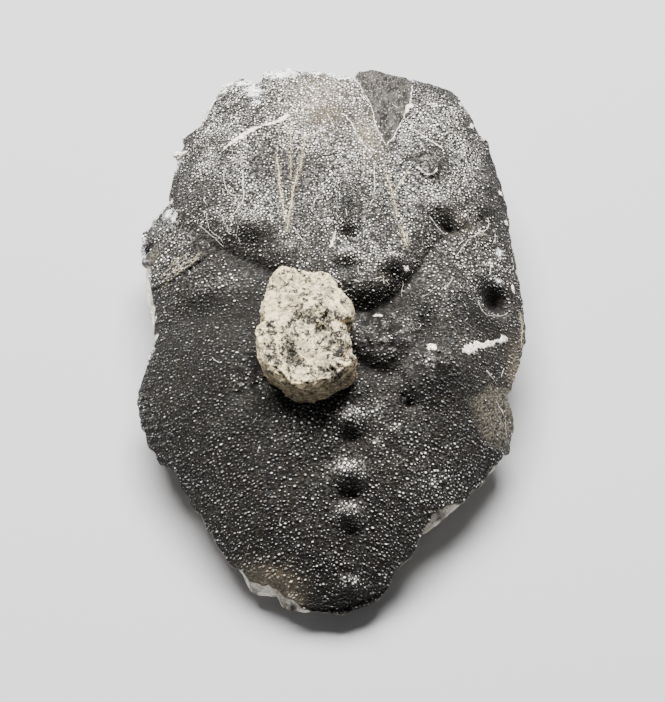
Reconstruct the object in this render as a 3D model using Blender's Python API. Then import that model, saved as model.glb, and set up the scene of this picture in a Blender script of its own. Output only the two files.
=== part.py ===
"""Fossil crab: a dark, granulated carapace over pale rock, with a lump of rock on its back.

X runs to the crab's right side as it is seen from above with the front away from the viewer,
+Y to its front edge and +Z up. The origin lies in the flat underside that the fossil rests on.
The shapes are worked out in millimetres and written to the meshes in metres.
"""
import bmesh
import bpy
import math
import numpy as np

MM = 0.001

# Dome of the shell (mm)
RIM_HEIGHT = 6.9            # height of the shell's edge over the resting face, at mid-length
RIM_RISE = 0.10             # the front edge lies higher than the rear edge, mm per mm of length
CROWN = 12.4                # rise of the dome from its edge to its crown
FULLNESS_REAR = 2.35        # how square the dome's profile is at the rear ...
FULLNESS_FRONT = 3.1        # ... and at the front
DOME_MARGIN = 0.7           # the shell breaks off this far inside the dome's own edge ...
FRONT_MARGIN = 2.6          # ... and further inside it along the front
EDGE_THICKNESS = 1.2        # shell at its broken edge, measured upright
BODY_THICKNESS = 3.4        # shell under its thickest parts
SEAM = 0.36                 # gap between the shell and the rock inside it
SEAM_AT_EDGE = 0.75         # the same gap measured upright where the shell is steep
LUMP_SEAM = 0.5             # gap between the shell and the lump
LUMP_TOP = 24.6             # height of the lump's top over the resting face
BASE_INSET = 2.2            # the resting face lies this far inside the rock's widest outline ...
BASE_INSET_REAR = 4.4       # ... and further inside it at the rear, where the rock is undercut
CUT_DEPTH = 1.5             # the rock is made this much too deep and cut off flat at height 0
FLANK_BULGE = 0.3           # how far the rock's flank bulges between its outline and its base
LUMP_SQUARENESS = 3.6       # 2 is a ball, more is squarer

# Mesh sizes
SHELL_COLUMNS = 104
SHELL_ROWS = 150
SHELL_RATIO = 0.098         # share of the shell's triangles that the Decimate modifier keeps
INFILL_SEGMENTS = 120
INFILL_RINGS = 64
INFILL_RATIO = 0.12
LUMP_SUBDIVISIONS = 5
LUMP_RATIO = 0.2

# The shell's broken edge seen from above (mm), anticlockwise from the right side
SHELL_EDGE = [
    (23.4, 0.2), (23.0, 3.6), (22.6, 7.4), (21.8, 11.0), (21.4, 15.5), (20.5, 19.1),
    (19.9, 21.1), (19.1, 23.7), (18.0, 24.0), (16.8, 27.7), (15.1, 30.6), (12.2, 31.2),
    (9.3, 31.9), (7.4, 32.2), (5.0, 33.5), (3.4, 32.7), (2.4, 31.0), (-0.2, 31.9),
    (-1.8, 32.5), (-3.6, 32.7), (-5.4, 33.6), (-8.5, 32.6), (-8.9, 31.1), (-9.5, 30.5),
    (-11.5, 32.4), (-12.5, 32.3), (-14.2, 30.2), (-15.7, 26.8), (-16.4, 24.9), (-18.7, 24.2),
    (-18.2, 22.9), (-19.5, 20.2), (-20.0, 17.1), (-20.1, 14.8), (-22.2, 13.9), (-23.5, 12.8),
    (-23.6, 10.5), (-23.4, 8.9), (-22.2, 7.6), (-22.4, 5.5), (-21.6, 2.0), (-21.4, -1.5),
    (-22.4, -5.4), (-23.6, -8.2), (-23.0, -12.4), (-21.0, -16.8), (-18.5, -18.6),
    (-15.7, -23.4), (-12.2, -28.6), (-9.6, -31.0), (-7.0, -31.8), (-4.9, -33.3),
    (-1.7, -34.2), (1.5, -34.5), (4.7, -33.3), (6.5, -31.6), (7.3, -30.0), (9.6, -27.8),
    (10.8, -25.4), (11.9, -23.8), (13.4, -22.4), (15.0, -21.8), (17.4, -19.6), (19.6, -17.0),
    (21.2, -14.6), (21.9, -12.0), (21.1, -9.0), (22.3, -5.6), (23.5, -2.0),
]
# The rock's widest outline: inside the shell's edge, but for where it is laid bare
INFILL_EDGE = [
    (22.6, 0.0), (22.2, 4.0), (21.4, 8.5), (20.7, 12.0), (20.2, 16.5), (18.8, 20.6),
    (17.4, 23.4), (15.6, 27.0), (13.8, 29.2), (10.6, 30.2), (6.2, 31.4), (2.6, 30.0),
    (-1.6, 31.2), (-6.2, 31.8), (-9.4, 29.6), (-12.4, 30.2), (-14.4, 26.4), (-16.6, 22.8),
    (-18.6, 19.4), (-19.2, 15.8), (-22.0, 12.4), (-22.8, 9.4), (-22.9, 7.4), (-22.9, 4.4),
    (-22.1, 1.4), (-21.1, -3.0), (-22.0, -7.6), (-21.8, -12.0), (-20.1, -16.2),
    (-18.3, -18.2), (-15.7, -22.2), (-12.4, -27.6), (-10.8, -29.6), (-9.6, -31.6),
    (-7.4, -32.3), (-6.6, -32.4), (-6.0, -33.4), (-3.4, -34.2), (-1.6, -33.6), (1.4, -33.0),
    (4.2, -31.8), (6.2, -29.6), (8.6, -27.2), (10.8, -25.5), (12.8, -23.8), (14.6, -22.2),
    (17.2, -19.6), (19.5, -17.0), (20.8, -12.0), (20.4, -8.6), (21.5, -5.3), (23.3, -1.6),
]
# The lump's outline at its widest, about the lump's own middle
LUMP_MIDDLE = (-3.0, -6.5)
LUMP_EDGE = [
    (-7.3, -0.4), (-6.7, 0.8), (-6.0, 1.3), (-5.0, 1.3), (-4.0, 0.5), (-2.6, 0.3),
    (-0.8, 0.1), (-0.2, -0.6), (0.6, -1.9), (1.8, -2.9), (2.3, -3.9), (2.0, -5.3),
    (1.2, -5.7), (1.3, -6.7), (1.7, -8.2), (2.1, -9.4), (2.6, -10.3), (2.0, -11.3),
    (0.9, -12.2), (-0.9, -13.2), (-3.2, -13.6), (-4.9, -13.2), (-6.0, -12.3), (-7.4, -11.2),
    (-8.2, -10.2), (-8.5, -8.8), (-8.7, -6.3), (-8.0, -5.5), (-8.2, -3.8), (-7.8, -1.9),
]

# The groove that parts the front of the shell from the rest, left to right: x, y, depth
GROOVE = [
    (-23.5, 17.2, 0.4), (-19.8, 12.4, 0.35), (-16.6, 9.1, 0.3), (-14.1, 6.9, 0.35),
    (-11.0, 4.9, 0.5), (-7.4, 2.9, 0.8), (-4.0, 1.0, 1.2), (-0.5, -0.9, 1.7),
    (2.3, -1.6, 2.1), (4.7, -1.5, 2.2), (6.4, -0.7, 1.8), (7.8, 0.4, 1.3), (8.9, 1.6, 0.9),
    (10.2, 3.4, 0.6), (11.2, 5.4, 0.45), (12.9, 7.8, 0.35), (15.3, 9.2, 0.4), (19.2, 12.4, 0.4),
    (23.0, 16.5, 0.3),
]
GROOVE_FRONT_WIDTH = 0.3    # the groove's front wall, steep where it is shallow ...
GROOVE_FRONT_SPREAD = 0.5   # ... and this much wider for each mm of its depth
GROOVE_REAR_WIDTH = 3.4     # its gentle rear slope
FRONT_STEP = 0.9            # the front region stands this much above the rest

# Swellings of the shell: x, y, half-width, half-length, height, turn in degrees
SWELLINGS = [
    (-12.5, -10.0, 7.0, 12.0, 1.3, 8), (13.5, -11.0, 6.5, 10.0, 1.3, -8),
    (2.4, -22.0, 5.0, 9.0, -0.8, 0), (-20.8, 11.0, 3.0, 2.0, 0.9, 0),
    (-14.5, 2.2, 5.0, 2.8, 0.6, -10), (14.8, 1.2, 3.5, 3.0, 0.9, 0),
    (-11.5, -5.5, 4.5, 3.2, 0.3, 0), (5.0, -6.0, 3.8, 2.1, 1.5, -8),
    (12.8, -8.9, 4.6, 2.1, 1.4, 28),
]
FRONT_BOSSES = [
    (1.4, 14.0, 1.0, 1.2, 0.7, 0), (1.5, 11.2, 1.0, 3.2, 1.7, 0), (1.8, 8.7, 1.1, 1.2, 1.2, 0),
    (1.5, 4.3, 1.4, 1.0, 1.5, 0), (1.6, 1.9, 1.2, 0.8, 0.6, 0), (7.3, 3.7, 1.5, 1.2, 1.7, 0),
    (11.6, 17.5, 1.8, 2.0, 1.0, 0), (13.0, 11.4, 1.6, 1.3, 1.4, 0),
    (-11.6, 15.6, 2.2, 2.8, 0.7, 10), (-9.8, 8.5, 2.3, 1.7, 1.8, -10),
    (-15.9, 17.8, 1.5, 1.7, 0.7, 0), (-16.0, 13.6, 1.8, 1.5, 0.8, 0),
    (18.6, 17.2, 1.5, 2.0, 0.6, 0), (18.8, 12.9, 1.6, 1.4, 0.7, 0),
]
REAR_BOSSES = [
    (2.0, -15.3, 1.6, 1.15, 2.1, 0), (2.1, -21.3, 1.6, 1.15, 2.3, 0),
    (2.0, -25.2, 1.2, 0.95, 1.9, 0), (2.1, -30.2, 0.8, 0.5, 0.5, 0),
    (2.1, -32.0, 1.3, 0.85, 1.4, 0),
]
HOLE = (19.4, 1.9, 1.7, 1.6, -3.3, 0)
PITS = [
    (13.8, 9.3, 0.85, 0.6, -1.1, 0), (11.1, -3.6, 1.2, 2.2, -1.3, -8),
    (9.0, -7.3, 1.1, 1.5, -0.7, 0), (8.8, -12.9, 1.0, 0.9, -0.7, 0),
    (-15.8, -0.6, 2.2, 1.6, -0.7, 0), (-9.8, -11.4, 3.0, 1.5, -0.7, 25),
    (2.0, -17.0, 1.0, 0.6, -0.6, 0), (2.1, -22.8, 0.9, 0.6, -0.8, 0),
    (2.1, -26.6, 0.75, 0.5, -0.6, 0), (2.1, -33.0, 1.1, 0.5, -0.3, 0),
]
# Furrows: route, half-width, depth
FURROWS = [
    ([(2.0, -7.7), (4.2, -8.9), (6.6, -9.6)], 0.9, 0.9),
    ([(7.4, -8.6), (8.2, -10.8), (8.9, -12.8)], 0.9, 0.6),
]
# Places where the shell has flaked off the rock: outline, depth of the step
FLAKED = [
    ([(1.6, 36.0), (3.6, 28.8), (4.6, 26.2), (6.5, 19.8), (8.6, 24.0), (9.7, 27.5),
      (10.2, 36.0)], 0.35),
    ([(15.9, -11.5), (18.6, -8.6), (23.0, -7.5), (23.0, -15.0), (18.0, -15.5)], 0.30),
    ([(-12.0, -30.4), (-9.0, -30.2), (-5.4, -31.8), (-5.0, -36.0), (-14.0, -36.0)], 0.55),
]
# Uneven surface: wavelength, height, seed
SHELL_UNEVENNESS = [(4.6, 0.22, 3), (2.1, 0.12, 5), (1.0, 0.05, 7)]
ROCK_UNEVENNESS = [(6.0, 0.50, 11), (2.6, 0.30, 13), (1.2, 0.14, 17)]
LUMP_UNEVENNESS = [(3.6, 0.32, 19), (1.7, 0.20, 23), (0.8, 0.08, 29)]

SHELL_COLOUR = (0.045, 0.043, 0.041, 1.0)
INFILL_COLOUR = (0.47, 0.43, 0.36, 1.0)
LUMP_COLOUR = (0.52, 0.46, 0.36, 1.0)


def ease(t):
    """A smooth step from 0 to 1 as t goes from 0 to 1."""
    t = np.clip(t, 0.0, 1.0)
    return t * t * (3.0 - 2.0 * t)


def unevenness(x, y, layers):
    """Smooth random relief: for each layer, heights on a square lattice, blended between."""
    total = np.zeros_like(x)
    size = 64
    for cell, height, seed in layers:
        table = np.random.default_rng(seed).uniform(-1.0, 1.0, (size, size))
        u = x / cell + 7.3 * seed
        v = y / cell - 3.1 * seed
        i = np.floor(u).astype(int)
        j = np.floor(v).astype(int)
        a = ease(u - i)
        b = ease(v - j)
        near, far = i % size, (i + 1) % size
        low, high = j % size, (j + 1) % size
        total += height * ((table[near, low] * (1 - a) + table[far, low] * a) * (1 - b)
                           + (table[near, high] * (1 - a) + table[far, high] * a) * b)
    return total


class Outline:
    """A closed outline, read as a radius for each direction from its middle."""

    def __init__(self, points, middle=(0.0, 0.0)):
        offset = np.array(points) - np.array(middle)
        angle = np.arctan2(offset[:, 1], offset[:, 0])
        order = np.argsort(angle)
        self.angle = angle[order]
        self.reach = np.hypot(offset[:, 0], offset[:, 1])[order]

    def radius(self, angle):
        return np.interp(angle, self.angle, self.reach, period=2 * math.pi)

    def softened(self, spread):
        """The same outline with its corners averaged away over spread degrees."""
        steps = 720
        angle = np.linspace(-math.pi, math.pi, steps, endpoint=False)
        away = np.minimum(np.arange(steps), steps - np.arange(steps)) * 360.0 / steps
        weight = np.exp(-(away / spread) ** 2)
        weight /= weight.sum()
        blurred = np.fft.ifft(np.fft.fft(self.radius(angle)) * np.fft.fft(weight))
        soft = Outline([(1.0, 0.0)])
        soft.angle = angle
        soft.reach = np.real(blurred)
        return soft


SHELL_OUTLINE = Outline(SHELL_EDGE)
DOME_OUTLINE = SHELL_OUTLINE.softened(14.0)
INFILL_OUTLINE = Outline(INFILL_EDGE)
LUMP_OUTLINE = Outline(LUMP_EDGE, LUMP_MIDDLE)


def nearest_on(x, y, route):
    """Distance to a route, the side of it that a point is on and the place along it."""
    route = np.array(route, dtype=float)
    steps = np.diff(route, axis=0)
    lengths = np.hypot(steps[:, 0], steps[:, 1])
    start = np.concatenate([[0.0], np.cumsum(lengths)])
    distance = np.full(np.shape(x), np.inf)
    side = np.zeros(np.shape(x))
    along = np.zeros(np.shape(x))
    for (ax, ay), (dx, dy), length, done in zip(route, steps, lengths, start):
        t = np.clip(((x - ax) * dx + (y - ay) * dy) / length ** 2, 0.0, 1.0)
        ex = x - ax - t * dx
        ey = y - ay - t * dy
        here = np.hypot(ex, ey)
        closer = here < distance
        distance = np.where(closer, here, distance)
        side = np.where(closer, np.sign(dx * ey - dy * ex), side)
        along = np.where(closer, done + t * length, along)
    return distance, side, along / start[-1]


def mound(x, y, shape):
    """A rounded swelling, or a pit where its height is negative."""
    middle_x, middle_y, half_width, half_length, height, turn = shape
    c = math.cos(math.radians(turn))
    s = math.sin(math.radians(turn))
    u = ((x - middle_x) * c + (y - middle_y) * s) / half_width
    v = ((y - middle_y) * c - (x - middle_x) * s) / half_length
    return height * np.exp(-(u * u + v * v))


def inside_depth(x, y, corners):
    """How far a point lies inside a closed outline, negative outside it."""
    distance, _, _ = nearest_on(x, y, corners + corners[:1])
    inside = np.zeros(np.shape(x), dtype=bool)
    for (ax, ay), (bx, by) in zip(corners, corners[1:] + corners[:1]):
        crosses = (ay > y) != (by > y)
        run = (bx - ax) * (y - ay) / (by - ay if by != ay else 1e-9) + ax
        inside ^= crosses & (x < run)
    return np.where(inside, distance, -distance)


def dome(x, y):
    """The plain dome of the shell, and how far out a point lies on it (0 crown, 1 edge)."""
    angle = np.arctan2(y, x)
    margin = DOME_MARGIN + (FRONT_MARGIN - DOME_MARGIN) * ease((y - 16.0) / 14.0)
    out = np.minimum(np.hypot(x, y) / (DOME_OUTLINE.radius(angle) + margin), 1.0)
    fullness = FULLNESS_REAR + (FULLNESS_FRONT - FULLNESS_REAR) * ease((y + 2.0) / 14.0)
    height = RIM_HEIGHT + RIM_RISE * y * out ** 2 + CROWN * (1.0 - out ** fullness) ** 0.74
    return height, out


def shell_top(x, y):
    """Height of the shell's outer surface."""
    z, _ = dome(x, y)
    edge = np.hypot(x, y) / SHELL_OUTLINE.radius(np.arctan2(y, x))
    inner = 1.0 - np.clip(edge, 0.0, 1.0) ** 10
    distance, side, along = nearest_on(x, y, [point[:2] for point in GROOVE])
    _, _, stations = nearest_on(*np.array(GROOVE)[:, :2].T, [point[:2] for point in GROOVE])
    depth = np.interp(along, stations, [point[2] for point in GROOVE])
    front = distance * side
    wall_width = GROOVE_FRONT_WIDTH + GROOVE_FRONT_SPREAD * depth
    wall = np.where(front > 0.0, np.exp(-(distance / wall_width) ** 2),
                    np.exp(-(distance / GROOVE_REAR_WIDTH) ** 1.6))
    z = z - depth * wall * (0.35 + 0.65 * inner)
    z = z + FRONT_STEP * ease((front + 0.3) / 3.6) * np.exp(-np.maximum(front, 0) / 16.0) * inner
    for shape in SWELLINGS + FRONT_BOSSES + REAR_BOSSES + PITS + [HOLE]:
        z = z + mound(x, y, shape)
    for route, half_width, depth in FURROWS:
        distance, _, _ = nearest_on(x, y, route)
        z = z - depth * np.exp(-(distance / half_width) ** 2)
    for corners, step in FLAKED:
        z = z - step * ease(inside_depth(x, y, corners) / 0.5 + 0.5)
    return z + unevenness(x, y, SHELL_UNEVENNESS)


def shell_underside(x, y):
    """Height of the shell's inner surface: smooth, and thinner towards the edge."""
    z, out = dome(x, y)
    return z - EDGE_THICKNESS - (BODY_THICKNESS - EDGE_THICKNESS) * ease((0.97 - out) / 0.2)


def infill_top(x, y):
    _, out = dome(x, y)
    return shell_underside(x, y) - SEAM - (SEAM_AT_EDGE - SEAM) * ease((out - 0.7) / 0.25)


def write_heights(bm, positions):
    for vertex, position in zip(bm.verts, positions):
        vertex.co = [float(value) * MM for value in position]


def material(name, colour, roughness):
    made = bpy.data.materials.new(name)
    made.use_nodes = True
    shader = made.node_tree.nodes["Principled BSDF"]
    shader.inputs["Base Color"].default_value = colour
    shader.inputs["Roughness"].default_value = roughness
    shader.inputs["Metallic"].default_value = 0.0
    return made


def finish(bm, name, colour, roughness, ratio, collection):
    """Turns the mesh into a named object, thinned to the triangles that its shape needs."""
    bmesh.ops.recalc_face_normals(bm, faces=bm.faces)
    mesh = bpy.data.meshes.new(name)
    bm.to_mesh(mesh)
    bm.free()
    mesh.materials.append(material(name, colour, roughness))
    mesh.shade_smooth()
    piece = bpy.data.objects.new(name, mesh)
    collection.objects.link(piece)
    thin = piece.modifiers.new("thin", "DECIMATE")
    thin.decimate_type = "COLLAPSE"
    thin.ratio = ratio
    thin.use_collapse_triangulate = True
    return piece


def make_carapace(collection):
    """A square grid pressed into the shell's outline, doubled below to close the body."""
    bm = bmesh.new()
    bmesh.ops.create_grid(bm, x_segments=SHELL_COLUMNS, y_segments=SHELL_ROWS, size=1.0)
    doubled = bmesh.ops.extrude_face_region(bm, geom=bm.faces[:], use_keep_orig=True)
    lower = {v for v in doubled["geom"] if isinstance(v, bmesh.types.BMVert)}
    bm.verts.ensure_lookup_table()
    flat = np.array([v.co[:2] for v in bm.verts])
    is_lower = np.array([v in lower for v in bm.verts])
    across = flat[:, 0] * np.sqrt(1.0 - flat[:, 1] ** 2 / 2.0)
    forward = flat[:, 1] * np.sqrt(1.0 - flat[:, 0] ** 2 / 2.0)
    angle = np.arctan2(forward, across)
    reach = np.hypot(across, forward) * SHELL_OUTLINE.radius(angle)
    x = reach * np.cos(angle)
    y = reach * np.sin(angle)
    z = np.where(is_lower, shell_underside(x, y), shell_top(x, y))
    write_heights(bm, zip(x, y, z))
    return finish(bm, "carapace", SHELL_COLOUR, 0.45, SHELL_RATIO, collection)


def make_infill(collection):
    """A sphere whose upper rings follow the shell's inside, cut off flat to rest on."""
    bm = bmesh.new()
    bmesh.ops.create_uvsphere(bm, u_segments=INFILL_SEGMENTS, v_segments=INFILL_RINGS,
                              radius=1.0)
    ball = np.array([v.co[:] for v in bm.verts])
    angle = np.arctan2(ball[:, 1], ball[:, 0])
    down = np.arccos(np.clip(ball[:, 2], -1.0, 1.0)) / math.pi
    top_share, flank_share = 0.5, 0.24
    widest = INFILL_OUTLINE.radius(angle)
    out = np.clip(down / top_share, 0.0, 1.0)
    sunk = np.clip((down - top_share) / flank_share, 0.0, 1.0)
    back = np.clip((1.0 - down) / (1.0 - top_share - flank_share), 0.0, 1.0)
    rearward = np.clip(-np.sin(angle), 0.0, 1.0)
    inset = BASE_INSET + (BASE_INSET_REAR - BASE_INSET) * rearward
    reach = (widest * out - inset * sunk) * back
    x = reach * np.cos(angle)
    y = reach * np.sin(angle)
    rim_x = widest * np.cos(angle)
    rim_y = widest * np.sin(angle)
    rim_z = infill_top(rim_x, rim_y)
    z = np.where(down <= top_share, infill_top(x, y), rim_z - (rim_z + CUT_DEPTH) * sunk)
    bulge = np.sin(math.pi * sunk)
    rough = bulge * (FLANK_BULGE + unevenness(rim_x + 2.0 * z, rim_y - 1.5 * z, ROCK_UNEVENNESS))
    x = x + rough * np.cos(angle)
    y = y + rough * np.sin(angle)
    write_heights(bm, zip(x, y, z))
    piece = finish(bm, "matrix_infill", INFILL_COLOUR, 0.85, INFILL_RATIO, collection)
    cut = piece.modifiers.new("resting_face", "BOOLEAN")
    cut.operation = "DIFFERENCE"
    cut.solver = "EXACT"
    cut.object = make_floor_cutter()
    return piece


def make_floor_cutter():
    """A block whose top face is the plane that the fossil rests on."""
    cutters = bpy.data.collections.new("cutters")
    bpy.context.scene.collection.children.link(cutters)
    width, depth = 0.2, 0.01
    bm = bmesh.new()
    bmesh.ops.create_cube(bm, size=1.0)
    for vertex in bm.verts:
        vertex.co.x *= width
        vertex.co.y *= width
        vertex.co.z = (vertex.co.z - 0.5) * depth
    mesh = bpy.data.meshes.new("floor_cutter")
    bm.to_mesh(mesh)
    bm.free()
    cutter = bpy.data.objects.new("floor_cutter", mesh)
    cutter.hide_render = True
    cutter.display_type = "WIRE"
    cutters.objects.link(cutter)
    return cutter


def make_lump(collection):
    """A ball squared up into a rock: its underside follows the shell and its top is uneven."""
    bm = bmesh.new()
    bmesh.ops.create_icosphere(bm, subdivisions=LUMP_SUBDIVISIONS, radius=1.0)
    ball = np.array([v.co[:] for v in bm.verts])
    angle = np.arctan2(ball[:, 1], ball[:, 0])
    rise = np.clip((ball[:, 2] + 0.80) / 1.50, 0.0, 1.0)
    spread = (1.0 - np.abs(ball[:, 2]) ** LUMP_SQUARENESS) ** (1.0 / LUMP_SQUARENESS)
    reach = LUMP_OUTLINE.radius(angle) * spread * (1.03 - 0.03 * rise)
    x = LUMP_MIDDLE[0] + reach * np.cos(angle)
    y = LUMP_MIDDLE[1] + reach * np.sin(angle)
    bottom = shell_top(x, y) + LUMP_SEAM
    slope = 0.05 * (x - LUMP_MIDDLE[0]) + 0.04 * (y - LUMP_MIDDLE[1])
    top = LUMP_TOP + slope + unevenness(x, y, LUMP_UNEVENNESS)
    z = bottom + np.maximum(top - bottom, 0.0) * ease(rise) ** 0.8
    side = unevenness(x + 1.7 * z, y - 1.3 * z, LUMP_UNEVENNESS) * ease(rise * 4.0)
    x = x + side * np.cos(angle) * spread
    y = y + side * np.sin(angle) * spread
    write_heights(bm, zip(x, y, z))
    return finish(bm, "matrix_lump", LUMP_COLOUR, 0.9, LUMP_RATIO, collection)


def main():
    for old in list(bpy.data.objects):
        bpy.data.objects.remove(old)
    collection = bpy.data.collections.new("fossil_crab")
    bpy.context.scene.collection.children.link(collection)
    make_carapace(collection)
    make_infill(collection)
    make_lump(collection)


main()
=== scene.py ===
"""Fossil crab: the finished surfaces of its dark shell, of the pale rock inside it and of the
lump of tan rock on its back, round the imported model. Shapes are worked out in millimetres."""
import math

import bmesh
import bpy
import numpy as np
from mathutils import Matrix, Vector


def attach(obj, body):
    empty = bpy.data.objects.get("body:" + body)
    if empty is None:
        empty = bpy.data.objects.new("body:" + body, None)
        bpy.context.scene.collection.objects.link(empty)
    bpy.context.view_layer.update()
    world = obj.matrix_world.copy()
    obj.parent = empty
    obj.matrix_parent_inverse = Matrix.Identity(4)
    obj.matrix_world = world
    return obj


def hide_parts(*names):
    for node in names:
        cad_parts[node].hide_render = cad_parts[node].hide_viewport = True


MM = 0.001

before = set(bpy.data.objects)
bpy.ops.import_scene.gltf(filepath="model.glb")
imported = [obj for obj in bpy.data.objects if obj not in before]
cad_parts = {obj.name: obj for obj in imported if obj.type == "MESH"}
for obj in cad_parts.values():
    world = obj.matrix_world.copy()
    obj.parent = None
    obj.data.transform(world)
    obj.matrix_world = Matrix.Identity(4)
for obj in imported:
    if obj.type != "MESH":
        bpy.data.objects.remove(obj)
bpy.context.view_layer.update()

# ---------------------------------------------------------------- camera, light and floor

PHOTO_WIDTH, PHOTO_HEIGHT = 665, 702
VIEW_ELEVATION = 68.0          # degrees above the horizon
VIEW_DISTANCE = 300.0          # mm
VIEW_TARGET = (0.0, -4.4, 12.0)
PIXEL_AT_TARGET = 0.12         # mm that one pixel of the photo's frame covers at the target
SENSOR = 24.0


def make_camera():
    data = bpy.data.cameras.new("camera")
    camera = bpy.data.objects.new("camera", data)
    bpy.context.scene.collection.objects.link(camera)
    tilt = math.radians(VIEW_ELEVATION)
    back = Vector((0.0, -math.cos(tilt), math.sin(tilt)))
    camera.location = (Vector(VIEW_TARGET) + back * VIEW_DISTANCE) * MM
    camera.rotation_euler = (-back).to_track_quat("-Z", "Y").to_euler()
    data.sensor_width = SENSOR
    data.lens = SENSOR * VIEW_DISTANCE / PIXEL_AT_TARGET / PHOTO_HEIGHT
    data.clip_start = 0.01
    data.dof.use_dof = False
    bpy.context.scene.camera = camera


def make_light(name, place, size, power, colour):
    data = bpy.data.lights.new(name, "AREA")
    data.shape = "RECTANGLE"
    data.size, data.size_y = size
    data.energy = power
    data.color = colour
    light = bpy.data.objects.new(name, data)
    bpy.context.scene.collection.objects.link(light)
    light.location = place
    aim = Vector((0.0, 0.0, 0.012)) - light.location
    light.rotation_euler = aim.to_track_quat("-Z", "Y").to_euler()


def make_surroundings():
    make_light("window", (-0.03, 0.30, 0.50), (0.46, 0.18), 22.0, (1.0, 0.985, 0.96))
    world = bpy.data.worlds.new("room")
    bpy.context.scene.world = world
    world.use_nodes = True
    sky = world.node_tree.nodes["Background"]
    sky.inputs["Color"].default_value = (0.90, 0.91, 0.93, 1.0)
    sky.inputs["Strength"].default_value = 0.22
    bm = bmesh.new()
    bmesh.ops.create_grid(bm, x_segments=1, y_segments=1, size=1.5)
    mesh = bpy.data.meshes.new("floor")
    bm.to_mesh(mesh)
    bm.free()
    floor = bpy.data.objects.new("floor", mesh)
    bpy.context.scene.collection.objects.link(floor)
    paint = bpy.data.materials.new("floor_paint")
    paint.use_nodes = True
    shader = paint.node_tree.nodes["Principled BSDF"]
    shader.inputs["Base Color"].default_value = (0.38, 0.38, 0.39, 1.0)
    shader.inputs["Roughness"].default_value = 0.9
    mesh.materials.append(paint)


# ---------------------------------------------------------------- the shell's shape

RIM_HEIGHT = 6.9
RIM_RISE = 0.10
CROWN = 12.4
FULLNESS_REAR = 2.35
FULLNESS_FRONT = 3.1
DOME_MARGIN = 0.7
FRONT_MARGIN = 2.6
EDGE_THICKNESS = 1.2
BODY_THICKNESS = 3.4
LUMP_TOP = 24.6
BASE_INSET = 2.2
BASE_INSET_REAR = 4.4

SHELL_EDGE = [
    (23.4, 0.2), (23.0, 3.6), (22.6, 7.4), (21.8, 11.0), (21.4, 15.5), (20.5, 19.1),
    (19.9, 21.1), (19.1, 23.7), (18.0, 24.0), (16.8, 27.7), (15.1, 30.6), (12.2, 31.2),
    (9.3, 31.9), (7.4, 32.2), (5.0, 33.5), (3.4, 32.7), (2.4, 31.0), (-0.2, 31.9),
    (-1.8, 32.5), (-3.6, 32.7), (-5.4, 33.6), (-8.5, 32.6), (-8.9, 31.1), (-9.5, 30.5),
    (-11.5, 32.4), (-12.5, 32.3), (-14.2, 30.2), (-15.7, 26.8), (-16.4, 24.9), (-18.7, 24.2),
    (-18.2, 22.9), (-19.5, 20.2), (-20.0, 17.1), (-20.1, 14.8), (-22.2, 13.9), (-23.5, 12.8),
    (-23.6, 10.5), (-23.4, 8.9), (-22.2, 7.6), (-22.4, 5.5), (-21.6, 2.0), (-21.4, -1.5),
    (-22.4, -5.4), (-23.6, -8.2), (-23.0, -12.4), (-21.0, -16.8), (-18.5, -18.6),
    (-15.7, -23.4), (-12.2, -28.6), (-9.6, -31.0), (-7.0, -31.8), (-4.9, -33.3),
    (-1.7, -34.2), (1.5, -34.5), (4.7, -33.3), (6.5, -31.6), (7.3, -30.0), (9.6, -27.8),
    (10.8, -25.4), (11.9, -23.8), (13.4, -22.4), (15.0, -21.8), (17.4, -19.6), (19.6, -17.0),
    (21.2, -14.6), (21.9, -12.0), (21.1, -9.0), (22.3, -5.6), (23.5, -2.0),
]
INFILL_EDGE = [
    (22.6, 0.0), (22.2, 4.0), (21.4, 8.5), (20.7, 12.0), (20.2, 16.5), (18.8, 20.6),
    (17.4, 23.4), (15.6, 27.0), (13.8, 29.2), (10.6, 30.2), (6.2, 31.4), (2.6, 30.0),
    (-1.6, 31.2), (-6.2, 31.8), (-9.4, 29.6), (-12.4, 30.2), (-14.4, 26.4), (-16.6, 22.8),
    (-18.6, 19.4), (-19.2, 15.8), (-22.0, 12.4), (-22.8, 9.4), (-22.9, 7.4), (-22.9, 4.4),
    (-22.1, 1.4), (-21.1, -3.0), (-22.0, -7.6), (-21.8, -12.0), (-20.1, -16.2),
    (-18.3, -18.2), (-15.7, -22.2), (-12.4, -27.6), (-10.8, -29.6), (-9.6, -31.6),
    (-7.4, -32.3), (-6.6, -32.4), (-6.0, -33.4), (-3.4, -34.2), (-1.6, -33.6), (1.4, -33.0),
    (4.2, -31.8), (6.2, -29.6), (8.6, -27.2), (10.8, -25.5), (12.8, -23.8), (14.6, -22.2),
    (17.2, -19.6), (19.5, -17.0), (20.8, -12.0), (20.4, -8.6), (21.5, -5.3), (23.3, -1.6),
]
LUMP_MIDDLE = (-3.0, -6.5)
LUMP_EDGE = [
    (-7.3, -0.4), (-6.7, 0.8), (-6.0, 1.3), (-5.0, 1.3), (-4.0, 0.5), (-2.6, 0.3),
    (-0.8, 0.1), (-0.2, -0.6), (0.6, -1.9), (1.8, -2.9), (2.3, -3.9), (2.0, -5.3),
    (1.2, -5.7), (1.3, -6.7), (1.7, -8.2), (2.1, -9.4), (2.6, -10.3), (2.0, -11.3),
    (0.9, -12.2), (-0.9, -13.2), (-3.2, -13.6), (-4.9, -13.2), (-6.0, -12.3), (-7.4, -11.2),
    (-8.2, -10.2), (-8.5, -8.8), (-8.7, -6.3), (-8.0, -5.5), (-8.2, -3.8), (-7.8, -1.9),
]
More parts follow.
